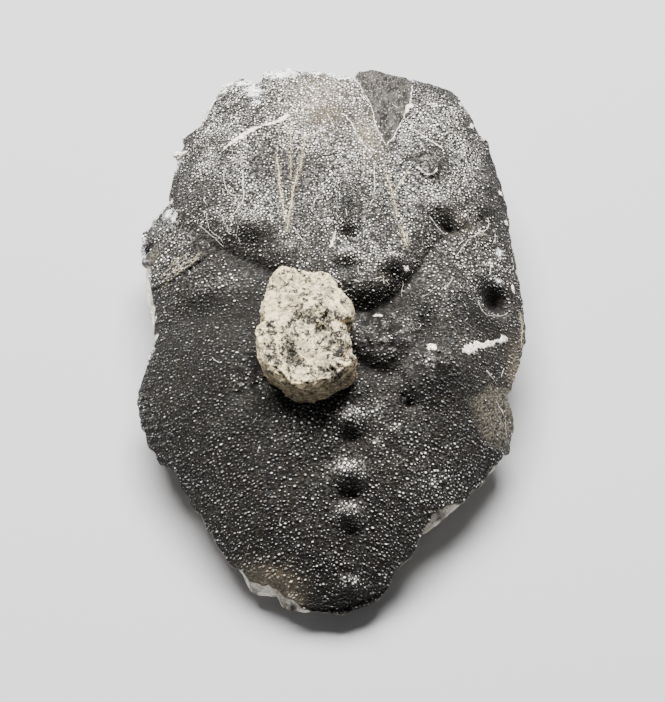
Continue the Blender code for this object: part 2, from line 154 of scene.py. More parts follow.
GROOVE = [
    (-23.5, 17.2, 0.4), (-19.8, 12.4, 0.35), (-16.6, 9.1, 0.3), (-14.1, 6.9, 0.35),
    (-11.0, 4.9, 0.5), (-7.4, 2.9, 0.8), (-4.0, 1.0, 1.2), (-0.5, -0.9, 1.7),
    (2.3, -1.6, 2.1), (4.7, -1.5, 2.2), (6.4, -0.7, 1.8), (7.8, 0.4, 1.3), (8.9, 1.6, 0.9),
    (10.2, 3.4, 0.6), (11.2, 5.4, 0.45), (12.9, 7.8, 0.35), (15.3, 9.2, 0.4), (19.2, 12.4, 0.4),
    (23.0, 16.5, 0.3),
]
GROOVE_ROUTE = [point[:2] for point in GROOVE]
GROOVE_FRONT_WIDTH = 0.3
GROOVE_FRONT_SPREAD = 0.5
GROOVE_REAR_WIDTH = 3.4
FRONT_STEP = 0.9
SWELLINGS = [
    (-12.5, -10.0, 7.0, 12.0, 1.3, 8), (13.5, -11.0, 6.5, 10.0, 1.3, -8),
    (2.4, -22.0, 5.0, 9.0, -0.8, 0), (-20.8, 11.0, 3.0, 2.0, 0.9, 0),
    (-14.5, 2.2, 5.0, 2.8, 0.6, -10), (14.8, 1.2, 3.5, 3.0, 0.9, 0),
    (-11.5, -5.5, 4.5, 3.2, 0.3, 0), (5.0, -6.0, 3.8, 2.1, 1.5, -8),
    (12.8, -8.9, 4.6, 2.1, 1.4, 28),
]
FRONT_BOSSES = [
    (1.4, 14.0, 1.0, 1.2, 0.7, 0), (1.5, 11.2, 1.0, 3.2, 1.7, 0), (1.8, 8.7, 1.1, 1.2, 1.2, 0),
    (1.5, 4.3, 1.4, 1.0, 1.5, 0), (1.6, 1.9, 1.2, 0.8, 0.6, 0), (7.3, 3.7, 1.5, 1.2, 1.7, 0),
    (11.6, 17.5, 1.8, 2.0, 1.0, 0), (13.0, 11.4, 1.6, 1.3, 1.4, 0),
    (-11.6, 15.6, 2.2, 2.8, 0.7, 10), (-9.8, 8.5, 2.3, 1.7, 1.8, -10),
    (-15.9, 17.8, 1.5, 1.7, 0.7, 0), (-16.0, 13.6, 1.8, 1.5, 0.8, 0),
    (18.6, 17.2, 1.5, 2.0, 0.6, 0), (18.8, 12.9, 1.6, 1.4, 0.7, 0),
]
REAR_BOSSES = [
    (2.0, -15.3, 1.6, 1.15, 2.1, 0), (2.1, -21.3, 1.6, 1.15, 2.3, 0),
    (2.0, -25.2, 1.2, 0.95, 1.9, 0), (2.1, -30.2, 0.8, 0.5, 0.5, 0),
    (2.1, -32.0, 1.3, 0.85, 1.4, 0),
]
HOLE = (19.4, 1.9, 1.7, 1.6, -3.3, 0)
PITS = [
    (13.8, 9.3, 0.85, 0.6, -1.1, 0), (11.1, -3.6, 1.2, 2.2, -1.3, -8),
    (9.0, -7.3, 1.1, 1.5, -0.7, 0), (8.8, -12.9, 1.0, 0.9, -0.7, 0),
    (-15.8, -0.6, 2.2, 1.6, -0.7, 0), (-9.8, -11.4, 3.0, 1.5, -0.7, 25),
    (2.0, -17.0, 1.0, 0.6, -0.6, 0), (2.1, -22.8, 0.9, 0.6, -0.8, 0),
    (2.1, -26.6, 0.75, 0.5, -0.6, 0), (2.1, -33.0, 1.1, 0.5, -0.3, 0),
]
FURROWS = [
    ([(2.0, -7.7), (4.2, -8.9), (6.6, -9.6)], 0.9, 0.9),
    ([(7.4, -8.6), (8.2, -10.8), (8.9, -12.8)], 0.9, 0.6),
]
WEDGE = [(1.6, 36.0), (3.6, 28.8), (4.6, 26.2), (6.5, 19.8), (8.6, 24.0), (9.7, 27.5),
         (10.2, 36.0)]
BARE_PATCH = [(15.9, -11.5), (18.6, -8.6), (23.0, -7.5), (23.0, -15.0), (18.0, -15.5)]
REAR_LEDGE = [(-12.0, -30.4), (-9.0, -30.2), (-5.4, -31.8), (-5.0, -36.0), (-14.0, -36.0)]
FLAKED = [(WEDGE, 0.35), (BARE_PATCH, 0.30), (REAR_LEDGE, 0.55)]
SHELL_UNEVENNESS = [(4.6, 0.22, 3), (2.1, 0.12, 5), (1.0, 0.05, 7)]


def ease(t):
    t = np.clip(t, 0.0, 1.0)
    return t * t * (3.0 - 2.0 * t)


def unevenness(x, y, layers):
    """Smooth random relief: for each layer, heights on a square lattice, blended between."""
    total = np.zeros_like(x)
    size = 64
    for cell, height, seed in layers:
        table = np.random.default_rng(seed).uniform(-1.0, 1.0, (size, size))
        u = x / cell + 7.3 * seed
        v = y / cell - 3.1 * seed
        i = np.floor(u).astype(int)
        j = np.floor(v).astype(int)
        a = ease(u - i)
        b = ease(v - j)
        near, far = i % size, (i + 1) % size
        low, high = j % size, (j + 1) % size
        total += height * ((table[near, low] * (1 - a) + table[far, low] * a) * (1 - b)
                           + (table[near, high] * (1 - a) + table[far, high] * a) * b)
    return total


def grain(points, layers):
    """The same in space: for each layer, values on a cubic lattice, blended between."""
    total = np.zeros(len(points))
    size = 32
    for cell, height, seed in layers:
        table = np.random.default_rng(seed).uniform(-1.0, 1.0, (size, size, size))
        place = points / cell + seed * 5.7
        whole = np.floor(place).astype(int)
        part = ease(place - whole)
        value = np.zeros(len(points))
        for corner in np.ndindex(2, 2, 2):
            index = (whole + corner) % size
            weight = np.prod(np.where(corner, part, 1.0 - part), axis=1)
            value += weight * table[index[:, 0], index[:, 1], index[:, 2]]
        total += height * value
    return total


class Outline:
    """A closed outline, read as a radius for each direction from its middle."""

    def __init__(self, points, middle=(0.0, 0.0)):
        offset = np.array(points) - np.array(middle)
        angle = np.arctan2(offset[:, 1], offset[:, 0])
        order = np.argsort(angle)
        self.angle = angle[order]
        self.reach = np.hypot(offset[:, 0], offset[:, 1])[order]

    def radius(self, angle):
        return np.interp(angle, self.angle, self.reach, period=2 * math.pi)

    def softened(self, spread):
        """The same outline with its corners averaged away over spread degrees."""
        steps = 720
        angle = np.linspace(-math.pi, math.pi, steps, endpoint=False)
        away = np.minimum(np.arange(steps), steps - np.arange(steps)) * 360.0 / steps
        weight = np.exp(-(away / spread) ** 2)
        weight /= weight.sum()
        blurred = np.fft.ifft(np.fft.fft(self.radius(angle)) * np.fft.fft(weight))
        soft = Outline([(1.0, 0.0)])
        soft.angle = angle
        soft.reach = np.real(blurred)
        return soft


SHELL_OUTLINE = Outline(SHELL_EDGE)
DOME_OUTLINE = SHELL_OUTLINE.softened(14.0)
INFILL_OUTLINE = Outline(INFILL_EDGE)
LUMP_OUTLINE = Outline(LUMP_EDGE, LUMP_MIDDLE)


def nearest_on(x, y, route):
    """Distance to a route, the side of it that a point is on and the place along it."""
    route = np.array(route, dtype=float)
    steps = np.diff(route, axis=0)
    lengths = np.hypot(steps[:, 0], steps[:, 1])
    start = np.concatenate([[0.0], np.cumsum(lengths)])
    distance = np.full(np.shape(x), np.inf)
    side = np.zeros(np.shape(x))
    along = np.zeros(np.shape(x))
    for (ax, ay), (dx, dy), length, done in zip(route, steps, lengths, start):
        t = np.clip(((x - ax) * dx + (y - ay) * dy) / length ** 2, 0.0, 1.0)
        ex = x - ax - t * dx
        ey = y - ay - t * dy
        here = np.hypot(ex, ey)
        closer = here < distance
        distance = np.where(closer, here, distance)
        side = np.where(closer, np.sign(dx * ey - dy * ex), side)
        along = np.where(closer, done + t * length, along)
    return distance, side, along / start[-1]


def mound(x, y, shape):
    """A rounded swelling, or a pit where its height is negative."""
    middle_x, middle_y, half_width, half_length, height, turn = shape
    c = math.cos(math.radians(turn))
    s = math.sin(math.radians(turn))
    u = ((x - middle_x) * c + (y - middle_y) * s) / half_width
    v = ((y - middle_y) * c - (x - middle_x) * s) / half_length
    return height * np.exp(-(u * u + v * v))


def inside_depth(x, y, corners):
    """How far a point lies inside a closed outline, negative outside it."""
    distance, _, _ = nearest_on(x, y, corners + corners[:1])
    inside = np.zeros(np.shape(x), dtype=bool)
    for (ax, ay), (bx, by) in zip(corners, corners[1:] + corners[:1]):
        crosses = (ay > y) != (by > y)
        run = (bx - ax) * (y - ay) / (by - ay if by != ay else 1e-9) + ax
        inside ^= crosses & (x < run)
    return np.where(inside, distance, -distance)


def dome(x, y):
    """The plain dome of the shell, and how far out a point lies on it (0 crown, 1 edge)."""
    angle = np.arctan2(y, x)
    margin = DOME_MARGIN + (FRONT_MARGIN - DOME_MARGIN) * ease((y - 16.0) / 14.0)
    out = np.minimum(np.hypot(x, y) / (DOME_OUTLINE.radius(angle) + margin), 1.0)
    fullness = FULLNESS_REAR + (FULLNESS_FRONT - FULLNESS_REAR) * ease((y + 2.0) / 14.0)
    height = RIM_HEIGHT + RIM_RISE * y * out ** 2 + CROWN * (1.0 - out ** fullness) ** 0.74
    return height, out


GROOVE_STATIONS = nearest_on(*np.array(GROOVE_ROUTE).T, GROOVE_ROUTE)[2]
GROOVE_DEPTHS = [point[2] for point in GROOVE]


def shell_top(x, y):
    """Height of the shell's outer surface, without its granules."""
    z, _ = dome(x, y)
    edge = np.hypot(x, y) / SHELL_OUTLINE.radius(np.arctan2(y, x))
    inner = 1.0 - np.clip(edge, 0.0, 1.0) ** 10
    distance, side, along = nearest_on(x, y, GROOVE_ROUTE)
    depth = np.interp(along, GROOVE_STATIONS, GROOVE_DEPTHS)
    front = distance * side
    wall_width = GROOVE_FRONT_WIDTH + GROOVE_FRONT_SPREAD * depth
    wall = np.where(front > 0.0, np.exp(-(distance / wall_width) ** 2),
                    np.exp(-(distance / GROOVE_REAR_WIDTH) ** 1.6))
    z = z - depth * wall * (0.35 + 0.65 * inner)
    z = z + FRONT_STEP * ease((front + 0.3) / 3.6) * np.exp(-np.maximum(front, 0) / 16.0) * inner
    for shape in SWELLINGS + FRONT_BOSSES + REAR_BOSSES + PITS + [HOLE]:
        z = z + mound(x, y, shape)
    for route, half_width, depth in FURROWS:
        distance, _, _ = nearest_on(x, y, route)
        z = z - depth * np.exp(-(distance / half_width) ** 2)
    for corners, step in FLAKED:
        z = z - step * ease(inside_depth(x, y, corners) / 0.5 + 0.5)
    return z + unevenness(x, y, SHELL_UNEVENNESS)


def shell_underside(x, y):
    z, out = dome(x, y)
    return z - EDGE_THICKNESS - (BODY_THICKNESS - EDGE_THICKNESS) * ease((0.97 - out) / 0.2)


# ---------------------------------------------------------------- fine features of the shell

# Scars of broken tubercles: x, y, half-width, half-length, paleness
SCARS = [(11.5, 17.4, 1.15, 1.50, 0.9), (-9.2, 17.2, 0.8, 1.1, 0.5), (1.6, 1.9, 0.7, 0.6, 0.5)]
# The edge of a flake on the left side, which stands proud on its front side
SIDE_LEDGE = [(-22.6, 4.1), (-19.6, 4.1), (-17.7, 4.6), (-15.6, 5.7)]
# Bosses with a gnarled surface: x, y, half-width, half-length, strength, turn
GNARLED = [(6.0, -4.6, 3.4, 2.4, 1.0, 0), (11.8, -8.4, 2.4, 1.6, 0.8, 20),
           (-8.9, -10.0, 2.3, 2.6, 0.8, 0)]
SMALL_PITS = [(-7.8, -31.5, 1.1, 0.7, 0.35, 0), (-4.7, -33.1, 1.2, 0.6, 0.35, -10),
              (-22.7, 9.9, 0.8, 0.42, -1.6, 0), (8.2, -12.0, 0.35, 0.25, -0.5, 0),
              (9.0, -12.8, 0.40, 0.25, -0.5, 0), (13.6, -8.9, 0.5, 0.12, -0.35, -45),
              (14.4, -7.8, 0.4, 0.12, -0.3, -45),
              (-9.5, -0.3, 0.14, 2.2, -0.25, 0), (6.2, -5.2, 0.7, 0.5, -0.35, 20),
              (3.9, -4.4, 0.5, 0.6, -0.35, 0), (8.2, -4.6, 0.5, 0.7, -0.35, 0),
              (5.0, -7.0, 0.8, 0.4, -0.3, 0), (7.0, -3.6, 0.8, 0.4, 0.3, 0),
              (4.2, -5.7, 0.6, 0.5, 0.3, 0), (6.9, -6.2, 0.6, 0.5, 0.3, 0),
              (2.9, -3.9, 0.6, 0.5, 0.3, 0)]
# Thin pale veins and scratches: route, half-width
VEINS = [
    ([(2.4, 31.4), (3.7, 29.1), (4.6, 26.4), (5.3, 23.0), (6.5, 19.9)], 0.11),
    ([(6.5, 19.9), (7.6, 21.5), (8.6, 24.2), (9.7, 27.7), (9.9, 30.5)], 0.10),
    ([(0.9, 25.0), (2.1, 23.9), (3.1, 20.9), (4.3, 19.2)], 0.09),
    ([(-0.7, 25.1), (0.1, 22.7)], 0.08),
    ([(9.6, 22.8), (11.3, 21.7), (13.6, 20.1)], 0.09),
    ([(-15.3, 22.8), (-13.9, 23.5)], 0.09),
    ([(-14.5, 29.3), (-15.2, 27.8), (-16.1, 25.7)], 0.22),
    ([(-13.5, 17.2), (-11.5, 17.7)], 0.08),
    ([(-10.8, 16.4), (-10.7, 12.8), (-11.3, 11.4), (-12.2, 9.9)], 0.10),
    ([(-13.1, 16.8), (-13.1, 15.0), (-12.3, 13.3), (-10.9, 12.8)], 0.05),
    ([(-16.0, 10.0), (-14.4, 8.2), (-13.0, 6.7)], 0.04),
    ([(-15.2, 11.4), (-14.8, 9.2), (-13.6, 7.9), (-13.1, 7.1)], 0.04),
    ([(-12.6, 9.0), (-12.4, 8.0), (-11.4, 7.4)], 0.04),
    ([(19.0, 12.1), (18.9, 10.9), (17.6, 9.6), (16.6, 8.8)], 0.10),
    ([(16.4, 8.5), (15.6, 7.2), (14.7, 5.9)], 0.06),
    ([(19.6, 10.9), (19.8, 10.0), (19.6, 9.1)], 0.12),
    ([(19.0, 6.6), (19.1, 5.6), (19.0, 4.7)], 0.08),
    ([(22.0, 8.4), (22.1, 7.5), (22.0, 6.7)], 0.09),
    ([(21.9, 4.7), (22.1, 4.1), (21.9, 3.6)], 0.14),
    ([(17.4, 1.1), (17.8, 0.0), (18.6, -0.6), (20.3, 0.2), (21.2, 1.0)], 0.06),
    ([(10.3, 16.8), (10.8, 16.0), (11.5, 15.7), (12.2, 16.0), (12.7, 16.8)], 0.09),
    ([(11.6, 10.2), (12.5, 9.2), (13.4, 8.6), (14.0, 8.9)], 0.07),
    ([(5.0, 16.7), (5.1, 14.8), (5.0, 13.0)], 0.09),
    ([(-1.7, 12.8), (-2.2, 11.5)], 0.10),
    ([(-4.7, 8.3), (-3.9, 7.0), (-3.1, 6.1)], 0.05),
    ([(0.4, 0.5), (1.0, 0.1), (2.0, 0.4), (2.6, 0.1)], 0.06),
    ([(18.3, -7.5), (19.7, -8.6)], 0.06),
    ([(20.6, -6.3), (20.2, -7.5)], 0.06),
    ([(19.6, -10.4), (20.6, -11.6), (20.9, -13.6)], 0.07),
    ([(10.6, 0.0), (12.4, 1.5)], 0.05),
    ([(12.8, 1.0), (13.9, 2.0), (14.4, 3.0)], 0.05),
]
TAN_VEINS = [
    ([(-3.3, 21.1), (-3.9, 16.9), (-4.7, 13.4), (-5.4, 7.8)], 0.10),
    ([(-6.7, 18.6), (-6.3, 13.4), (-5.5, 9.4)], 0.10),
    ([(-5.1, 23.8), (-5.0, 14.8)], 0.06),
    ([(6.4, 16.0), (7.1, 13.2), (7.6, 11.0), (7.6, 9.7)], 0.09),
    ([(9.1, 16.4), (8.2, 14.6), (7.1, 13.0)], 0.06),
    ([(8.2, 8.6), (8.5, 7.6), (8.8, 6.4)], 0.15),
    ([(-20.0, 4.6), (-19.2, 5.2), (-18.6, 5.0), (-18.0, 5.6), (-17.2, 5.7), (-16.4, 6.1),
      (-15.9, 6.5)], 0.06),
    ([(-20.6, 3.9), (-19.4, 4.2), (-18.0, 4.9), (-17.0, 5.2), (-16.2, 5.9)], 0.05),
    ([(-19.3, 5.9), (-18.2, 6.6), (-17.2, 6.9)], 0.04),
    ([(-20.9, 5.0), (-19.9, 5.6), (-19.0, 6.4)], 0.04),
    ([(22.9, 1.4), (23.1, -0.6), (22.9, -2.6)], 0.12),
]
# Thick white bars: route, half-widths along it
BARS = [
    ([(-13.5, 20.0), (-11.9, 21.2), (-9.5, 22.7), (-7.0, 23.5), (-5.2, 24.8)],
     [0.18, 0.36, 0.32, 0.28, 0.46]),
    ([(15.3, -6.5), (17.5, -4.9), (19.2, -3.9), (21.2, -2.5)], [0.75, 0.60, 0.36, 0.40]),
    ([(-0.3, 5.4), (0.1, 6.8), (0.4, 7.8)], [0.28, 0.20, 0.14]),
]
# Painted highlights: pale dust and paler granule tips on the lit tops of bosses and ridges and over
# broader patches that are to look brighter: x, y, half-width, half-length, strength, turn
PAINTED_HIGHLIGHTS = [
    (-19.5, 9.0, 4.5, 4.5, 0.5, 0), (16.0, 4.0, 6.0, 7.0, 0.4, 0),
    (2.0, -14.3, 1.9, 1.0, 1.0, 0), (2.2, -20.3, 2.0, 1.1, 1.0, 0),
    (2.0, -24.5, 1.3, 1.0, 1.0, 0), (2.0, -31.5, 1.3, 0.6, 0.7, 0),
    (7.6, -15.6, 1.0, 0.7, 0.6, 0), (5.3, -17.6, 0.7, 0.8, 0.6, 0),
    (11.4, -8.2, 2.2, 0.7, 0.7, 30), (5.2, -13.8, 1.0, 1.4, 0.4, 0),
    (-19.6, 11.4, 2.2, 2.2, 0.75, 0), (-17.9, 9.8, 3.4, 1.0, 0.9, -50),
    (-3.0, 3.6, 1.4, 1.2, 0.6, 0), (3.6, -3.6, 1.4, 1.2, 0.6, 0),
    (1.3, 14.4, 1.2, 0.9, 1.0, 0), (-9.6, 10.2, 2.0, 0.8, 0.8, 0),
    (1.6, 5.0, 1.2, 0.7, 0.8, 0), (7.2, 4.4, 1.2, 0.7, 0.7, 0), (2.0, 17.2, 2.6, 2.2, 0.95, 0),
    (-3.4, -16.0, 3.4, 1.4, 0.6, 0), (1.6, -15.0, 1.6, 1.6, 0.6, 0),
    (12.0, -20.5, 4.0, 4.2, 0.35, 0),
    (16.6, 11.0, 1.8, 1.3, 0.9, 0), (-13.6, 2.0, 2.6, 1.0, 0.6, 0),
]
# Evenly whitened patches of the front, dust and painted sheen, over the mottling
WHITENED = [(2.4, 18.2, 4.2, 4.6, 0.95, 0), (7.4, 22.6, 2.6, 2.4, 0.9, 0)]
# Tan stains
STAINED = [
    (-7.6, -31.2, 3.6, 1.3, 0.9, -15), (-7.8, -31.6, 1.3, 0.8, 1.2, 0),
    (-4.7, -33.2, 1.4, 0.7, 1.2, -10), (22.2, -7.0, 1.0, 3.6, 0.6, 0),
    (-1.5, 27.0, 3.5, 5.0, 0.35, 0), (4.2, 21.5, 1.6, 3.5, 0.4, 10),
    (16.0, 10.2, 2.2, 1.5, 0.12, 0),
]
# Where the shell is broken away at the left edge
LEFT_BREAK = (-22.0, 8.4, 0.9, 1.1, 1.0, 0)
# Relief of the gnarled skin, in mm, beyond which its tops get painted highlights in pale dust and
# its hollows painted shade in black
GNARLED_SHADE = 0.12
# Patches of white crust: x, y, half-width, half-length, strength, turn
CRUSTED = [
    (-9.7, 29.2, 1.2, 1.6, 1.3, 30), (-6.4, 32.4, 2.6, 1.3, 1.3, -5),
    (-10.9, 31.2, 1.6, 1.0, 1.2, 0), (-9.5, 26.9, 0.8, 0.8, 0.9, 0),
    (-13.7, 30.5, 0.7, 0.7, 1.2, 0), (20.2, 8.0, 0.8, 0.8, 1.0, 0),
    (20.0, 4.4, 1.0, 0.5, 0.95, 0), (-20.1, 13.4, 0.7, 0.9, 1.3, 20),
    (-19.3, 12.2, 0.5, 1.0, 1.2, 0), (-22.8, 5.0, 0.7, 2.0, 1.2, 0),
    (-22.0, 0.8, 0.6, 1.3, 1.1, 0),
]
# Painted shade: patches where the shell is painted black and the granules' pale tips are dimmed,
# below bosses, in hollows and over broader darker areas: x, y, half-width, half-length, strength,
# turn
PAINTED_SHADE_PATCHES = [
    (-15.0, -9.0, 7.5, 11.0, 0.45, 0), (2.0, -16.5, 1.2, 0.7, 1.0, 0),
    (2.1, -22.5, 0.9, 0.7, 1.0, 0), (2.0, -26.3, 0.8, 0.6, 1.0, 0),
    (2.0, -33.0, 1.2, 0.6, 0.8, 0), (1.5, 3.0, 1.4, 0.5, 0.9, 0), (7.3, 2.6, 1.1, 0.5, 1.0, 0),
    (13.8, 9.3, 0.9, 0.6, 1.0, 0), (1.9, 7.6, 1.1, 0.8, 1.0, 0), (-9.2, 6.9, 2.4, 0.9, 0.8, -10),
    (5.0, -9.0, 2.6, 0.9, 1.0, -25), (11.4, -3.4, 1.2, 2.4, 0.8, -8),
    (12.0, -10.5, 2.6, 1.2, 0.7, 15), (-15.0, -1.2, 3.4, 2.2, 1.0, 0),
    (-7.6, -13.0, 2.4, 1.6, 0.8, 25), (4.5, -0.6, 4.5, 1.4, 0.8, 0),
    (-6.0, 16.5, 3.6, 2.6, 0.5, 0), (-14.5, 14.5, 2.0, 2.2, 0.45, 0),
    (1.7, 10.2, 0.9, 2.6, 0.8, 0), (3.2, 10.6, 0.35, 2.8, 0.9, 0), (-0.1, 10.6, 0.4, 2.8, 0.6, 0),
    (-9.3, -2.0, 4.2, 3.4, 0.9, 0), (17.7, -1.2, 3.4, 2.6, 0.95, 0), (-3.6, 9.4, 2.2, 2.6, 0.45, 0),
    (20.4, 21.0, 3.0, 6.0, 0.8, 0), (-22.7, 9.9, 0.9, 0.5, 1.0, 0),
    (13.6, 30.2, 4.0, 2.2, 0.7, 0), (8.0, 31.5, 4.0, 1.8, 0.8, 0),
    (-1.5, 31.5, 3.4, 1.8, 0.35, 0), (-20.5, -6.0, 4.0, 4.5, 0.6, 0),
    (-9.6, -16.0, 4.5, 5.0, 0.5, 0), (-19.8, 17.0, 2.4, 4.0, 0.5, 0), (19.6, 2.0, 2.2, 2.1, 1.0, 0),
]
# Crowds of short scratches: middle x and y, spread in x and y, number
HAIRS = [(-13.0, 9.5, 2.2, 2.2, 28), (-18.2, 5.6, 1.5, 0.9, 16), (17.5, 7.0, 2.4, 3.0, 20),
         (14.0, -1.0, 3.0, 2.4, 9), (1.5, 13.0, 6.0, 5.0, 32), (-10.0, 25.0, 5.0, 4.0, 22),
         (12.0, 22.0, 4.0, 5.0, 22),
         (7.3, 1.6, 0.9, 0.6, 9), (1.8, 0.6, 0.9, 0.5, 6), (3.0, -24.0, 8.0, 7.0, 7),
         (-12.0, -12.0, 6.0, 8.0, 5)]
# Small white chips: x, y, half-width, half-length, height, turn
CHIPS = [
    (12.2, 26.9, 0.55, 0.30, 0.22, 10), (8.7, 3.0, 0.34, 0.40, 0.2, 30),
    (11.6, -6.2, 0.48, 0.50, 0.25, 0), (5.3, -1.9, 0.45, 0.16, 0.14, 0),
    (-3.3, 21.3, 0.24, 0.24, 0.16, 0), (9.4, 26.2, 0.36, 0.8, 0.2, -8),
    (-18.9, 21.9, 0.75, 0.60, 0.75, 5), (-18.4, 24.3, 0.30, 0.25, 0.25, 20),
    (-13.4, 31.4, 0.7, 0.45, 0.35, 30), (16.0, 28.4, 0.24, 0.30, 0.25, 20),
    (17.3, 25.0, 0.20, 0.34, 0.25, -10), (18.6, 23.6, 0.26, 0.26, 0.25, 40),
    (20.6, 16.6, 0.22, 0.36, 0.25, 15), (22.0, 4.0, 0.16, 0.60, 0.25, 8),
    (21.3, 12.8, 0.26, 0.30, 0.25, -20),
]


def make_mesh(name, positions, faces, material, smooth=True):
    mesh = bpy.data.meshes.new(name)
    mesh.from_pydata((np.asarray(positions) * MM).tolist(), [], faces)
    mesh.materials.append(material)
    if smooth:
        mesh.shade_smooth()
    piece = bpy.data.objects.new(name, mesh)
    bpy.context.scene.collection.objects.link(piece)
    return piece


def add_values(piece, name, values):
    """Writes one number for each vertex, which the material reads by its name."""
    layer = piece.data.attributes.new(name, "FLOAT", "POINT")
    layer.data.foreach_set("value", np.asarray(values, dtype=np.float32))


def shell_reach(angle):
    """How far the shell's ragged edge lies from the middle."""
    reach = SHELL_OUTLINE.radius(angle)
    x, y = reach * np.cos(angle), reach * np.sin(angle)
    return reach + unevenness(x, y, [(1.3, 0.22, 109), (0.6, 0.17, 113)])


def disk_grid(columns, rows):
    """A square grid pressed into the shell's outline: x, y and the quads."""
    u, v = np.meshgrid(np.linspace(-1, 1, columns + 1), np.linspace(-1, 1, rows + 1))
    across = u * np.sqrt(1.0 - v ** 2 / 2.0)
    forward = v * np.sqrt(1.0 - u ** 2 / 2.0)
    angle = np.arctan2(forward, across)
    reach = np.hypot(across, forward) * shell_reach(angle)
    index = np.arange(u.size).reshape(u.shape)
    quads = np.stack([index[:-1, :-1], index[:-1, 1:], index[1:, 1:], index[1:, :-1]], -1)
    ring = np.concatenate([index[0, :-1], index[:-1, -1], index[-1, :0:-1], index[:0:-1, 0]])
    return (reach * np.cos(angle)).ravel(), (reach * np.sin(angle)).ravel(), \
        quads.reshape(-1, 4), ring


def strongest(x, y, start, shapes):
    """The values given to start with, raised where any of the patches is stronger."""
    for shape in shapes:
        start = np.maximum(start, mound(x, y, shape))
    return start


def gnarled_relief(x, y):
    strength = strongest(x, y, np.zeros(np.shape(x)), GNARLED)
    return strength * unevenness(x, y, [(0.9, 0.42, 137), (0.45, 0.30, 139)])


def scar_ring(x, y, scar):
    """How far out a point lies on a scar: 1 on its edge."""
    middle_x, middle_y, half_width, half_length, _ = scar
    return np.hypot((x - middle_x) / half_width, (y - middle_y) / half_length)


def granule_cover(x, y):
    """Where the shell carries granules: 1 fully, 0 where it is smooth or broken away."""
    cover = np.ones(np.shape(x))
    cover *= 1.0 - ease(inside_depth(x, y, WEDGE) / 0.3 + 0.5)
    cover *= 1.0 - ease(inside_depth(x, y, BARE_PATCH) / 0.8 + 0.2) * 0.35
    cover *= 1.0 - ease(inside_depth(x, y, REAR_LEDGE) / 0.3 + 0.3)
    distance, side, along = nearest_on(x, y, GROOVE_ROUTE)
    behind = np.where(side < 0, distance, 0.0)
    band = (behind > 0) & (behind < 1.2) & (along > 0.5) & (along < 0.70)
    cover = np.where(band, 0.12, cover)
    cover = np.where((distance < 0.9) & (along < 0.45), cover * 0.4, cover)
    cover = np.where((side > 0) & (distance < 0.35), 0.1, cover)
    cover *= 1.0 - 0.5 * mound(x, y, (-20.0, 10.8, 2.2, 2.2, 1.0, 0))
    cover *= 1.0 - np.minimum(1.4 * mound(x, y, LEFT_BREAK), 1.0)
    for scar in SCARS:
        cover *= ease((scar_ring(x, y, scar) - 1.10) / 0.15)
    for shape in GNARLED:
        cover *= 1.0 - 0.5 * mound(x, y, shape)
    hollow = np.hypot((x - HOLE[0]) / 1.6, (y - HOLE[1]) / 1.5)
    return np.where(hollow < 1.0, 0.0, cover)


def shell_values(x, y):
    """The masks that colour the shell: dust with painted highlights, bare rock, the wedge, tan
    stain, white crust with painted highlights on scar rims, tan streaks and painted shade.
    """
    distance, side, _ = nearest_on(x, y, GROOVE_ROUTE)
    ahead = distance * side
    patchy = unevenness(x, y, [(3.4, 0.30, 11), (1.5, 0.22, 13), (0.7, 0.12, 17)])
    # dust on the front of the shell, partly painted sheen, growing towards the front
    dust_and_highlight = ease(ahead / 6.0) * (0.42 + 0.33 * ease((y - 10.0) / 14.0))
    # painted highlights on the listed tops and patches
    dust_and_highlight = strongest(x, y, dust_and_highlight, PAINTED_HIGHLIGHTS)
    gnarled = gnarled_relief(x, y)
    # painted shade in the hollows of the gnarled skin and in the listed patches
    painted_shade = strongest(x, y, ease(-gnarled / GNARLED_SHADE), PAINTED_SHADE_PATCHES)
    dust_and_highlight = np.clip(dust_and_highlight * (1.0 + 2.4 * patchy), 0.0, 1.0) * (1.0 - painted_shade)
    dust_and_highlight = strongest(x, y, dust_and_highlight, WHITENED)
    # painted highlights on the raised parts of the gnarled skin
    dust_and_highlight = np.maximum(dust_and_highlight, 0.45 * ease(gnarled / GNARLED_SHADE))
    bare = ease(inside_depth(x, y, BARE_PATCH) / 2.0 + 0.3)
    bare = np.maximum(bare, 0.8 * ease(inside_depth(x, y, REAR_LEDGE) / 1.0 + 0.6))
    bare = np.maximum(bare, mound(x, y, LEFT_BREAK))
    wedge = ease(inside_depth(x, y, WEDGE) / 0.3 + 0.5)
    streak = np.zeros(np.shape(x))
    for route, half_width in TAN_VEINS:
        distance, _, _ = nearest_on(x, y, route)
        streak = np.maximum(streak, np.exp(-(distance / (2.4 * half_width)) ** 2))
    stain = strongest(x, y, np.zeros(np.shape(x)), STAINED)
    crust_and_rim_highlight = strongest(x, y, np.zeros(np.shape(x)), CRUSTED)
    # scars: painted highlight in white crust on the lit side of each rim, painted shade on its
    # other side, and a pale floor
    for scar in SCARS:
        _, middle_y, _, half_length, paleness = scar
        ring = scar_ring(x, y, scar)
        lit = ease((middle_y - y) / half_length + 0.3)
        rim = np.exp(-((ring - 1.08) / 0.12) ** 2)
        crust_and_rim_highlight = np.maximum(crust_and_rim_highlight, paleness * lit * rim)
        dust_and_highlight = np.maximum(dust_and_highlight, paleness * ease((0.95 - ring) / 0.2))
        painted_shade = np.maximum(painted_shade, paleness * (1.0 - lit) * rim)
    edge = np.hypot(x, y) / shell_reach(np.arctan2(y, x))
    patches = np.clip(0.35 + unevenness(x, y, [(1.9, 1.0, 127), (0.8, 0.5, 131)]), 0.0, 1.0)
    chafed = ease((edge - 0.955) / 0.035) * ease((y + 9.0) / 6.0) * ease((17.0 - x) / 9.0) * patches
    crust_and_rim_highlight = np.maximum(crust_and_rim_highlight, 0.85 * chafed)
    return {"dust_and_highlight": dust_and_highlight, "bare": bare, "wedge": wedge, "stain": stain, "crust_and_rim_highlight": crust_and_rim_highlight,
            "streak": streak, "painted_shade": painted_shade}


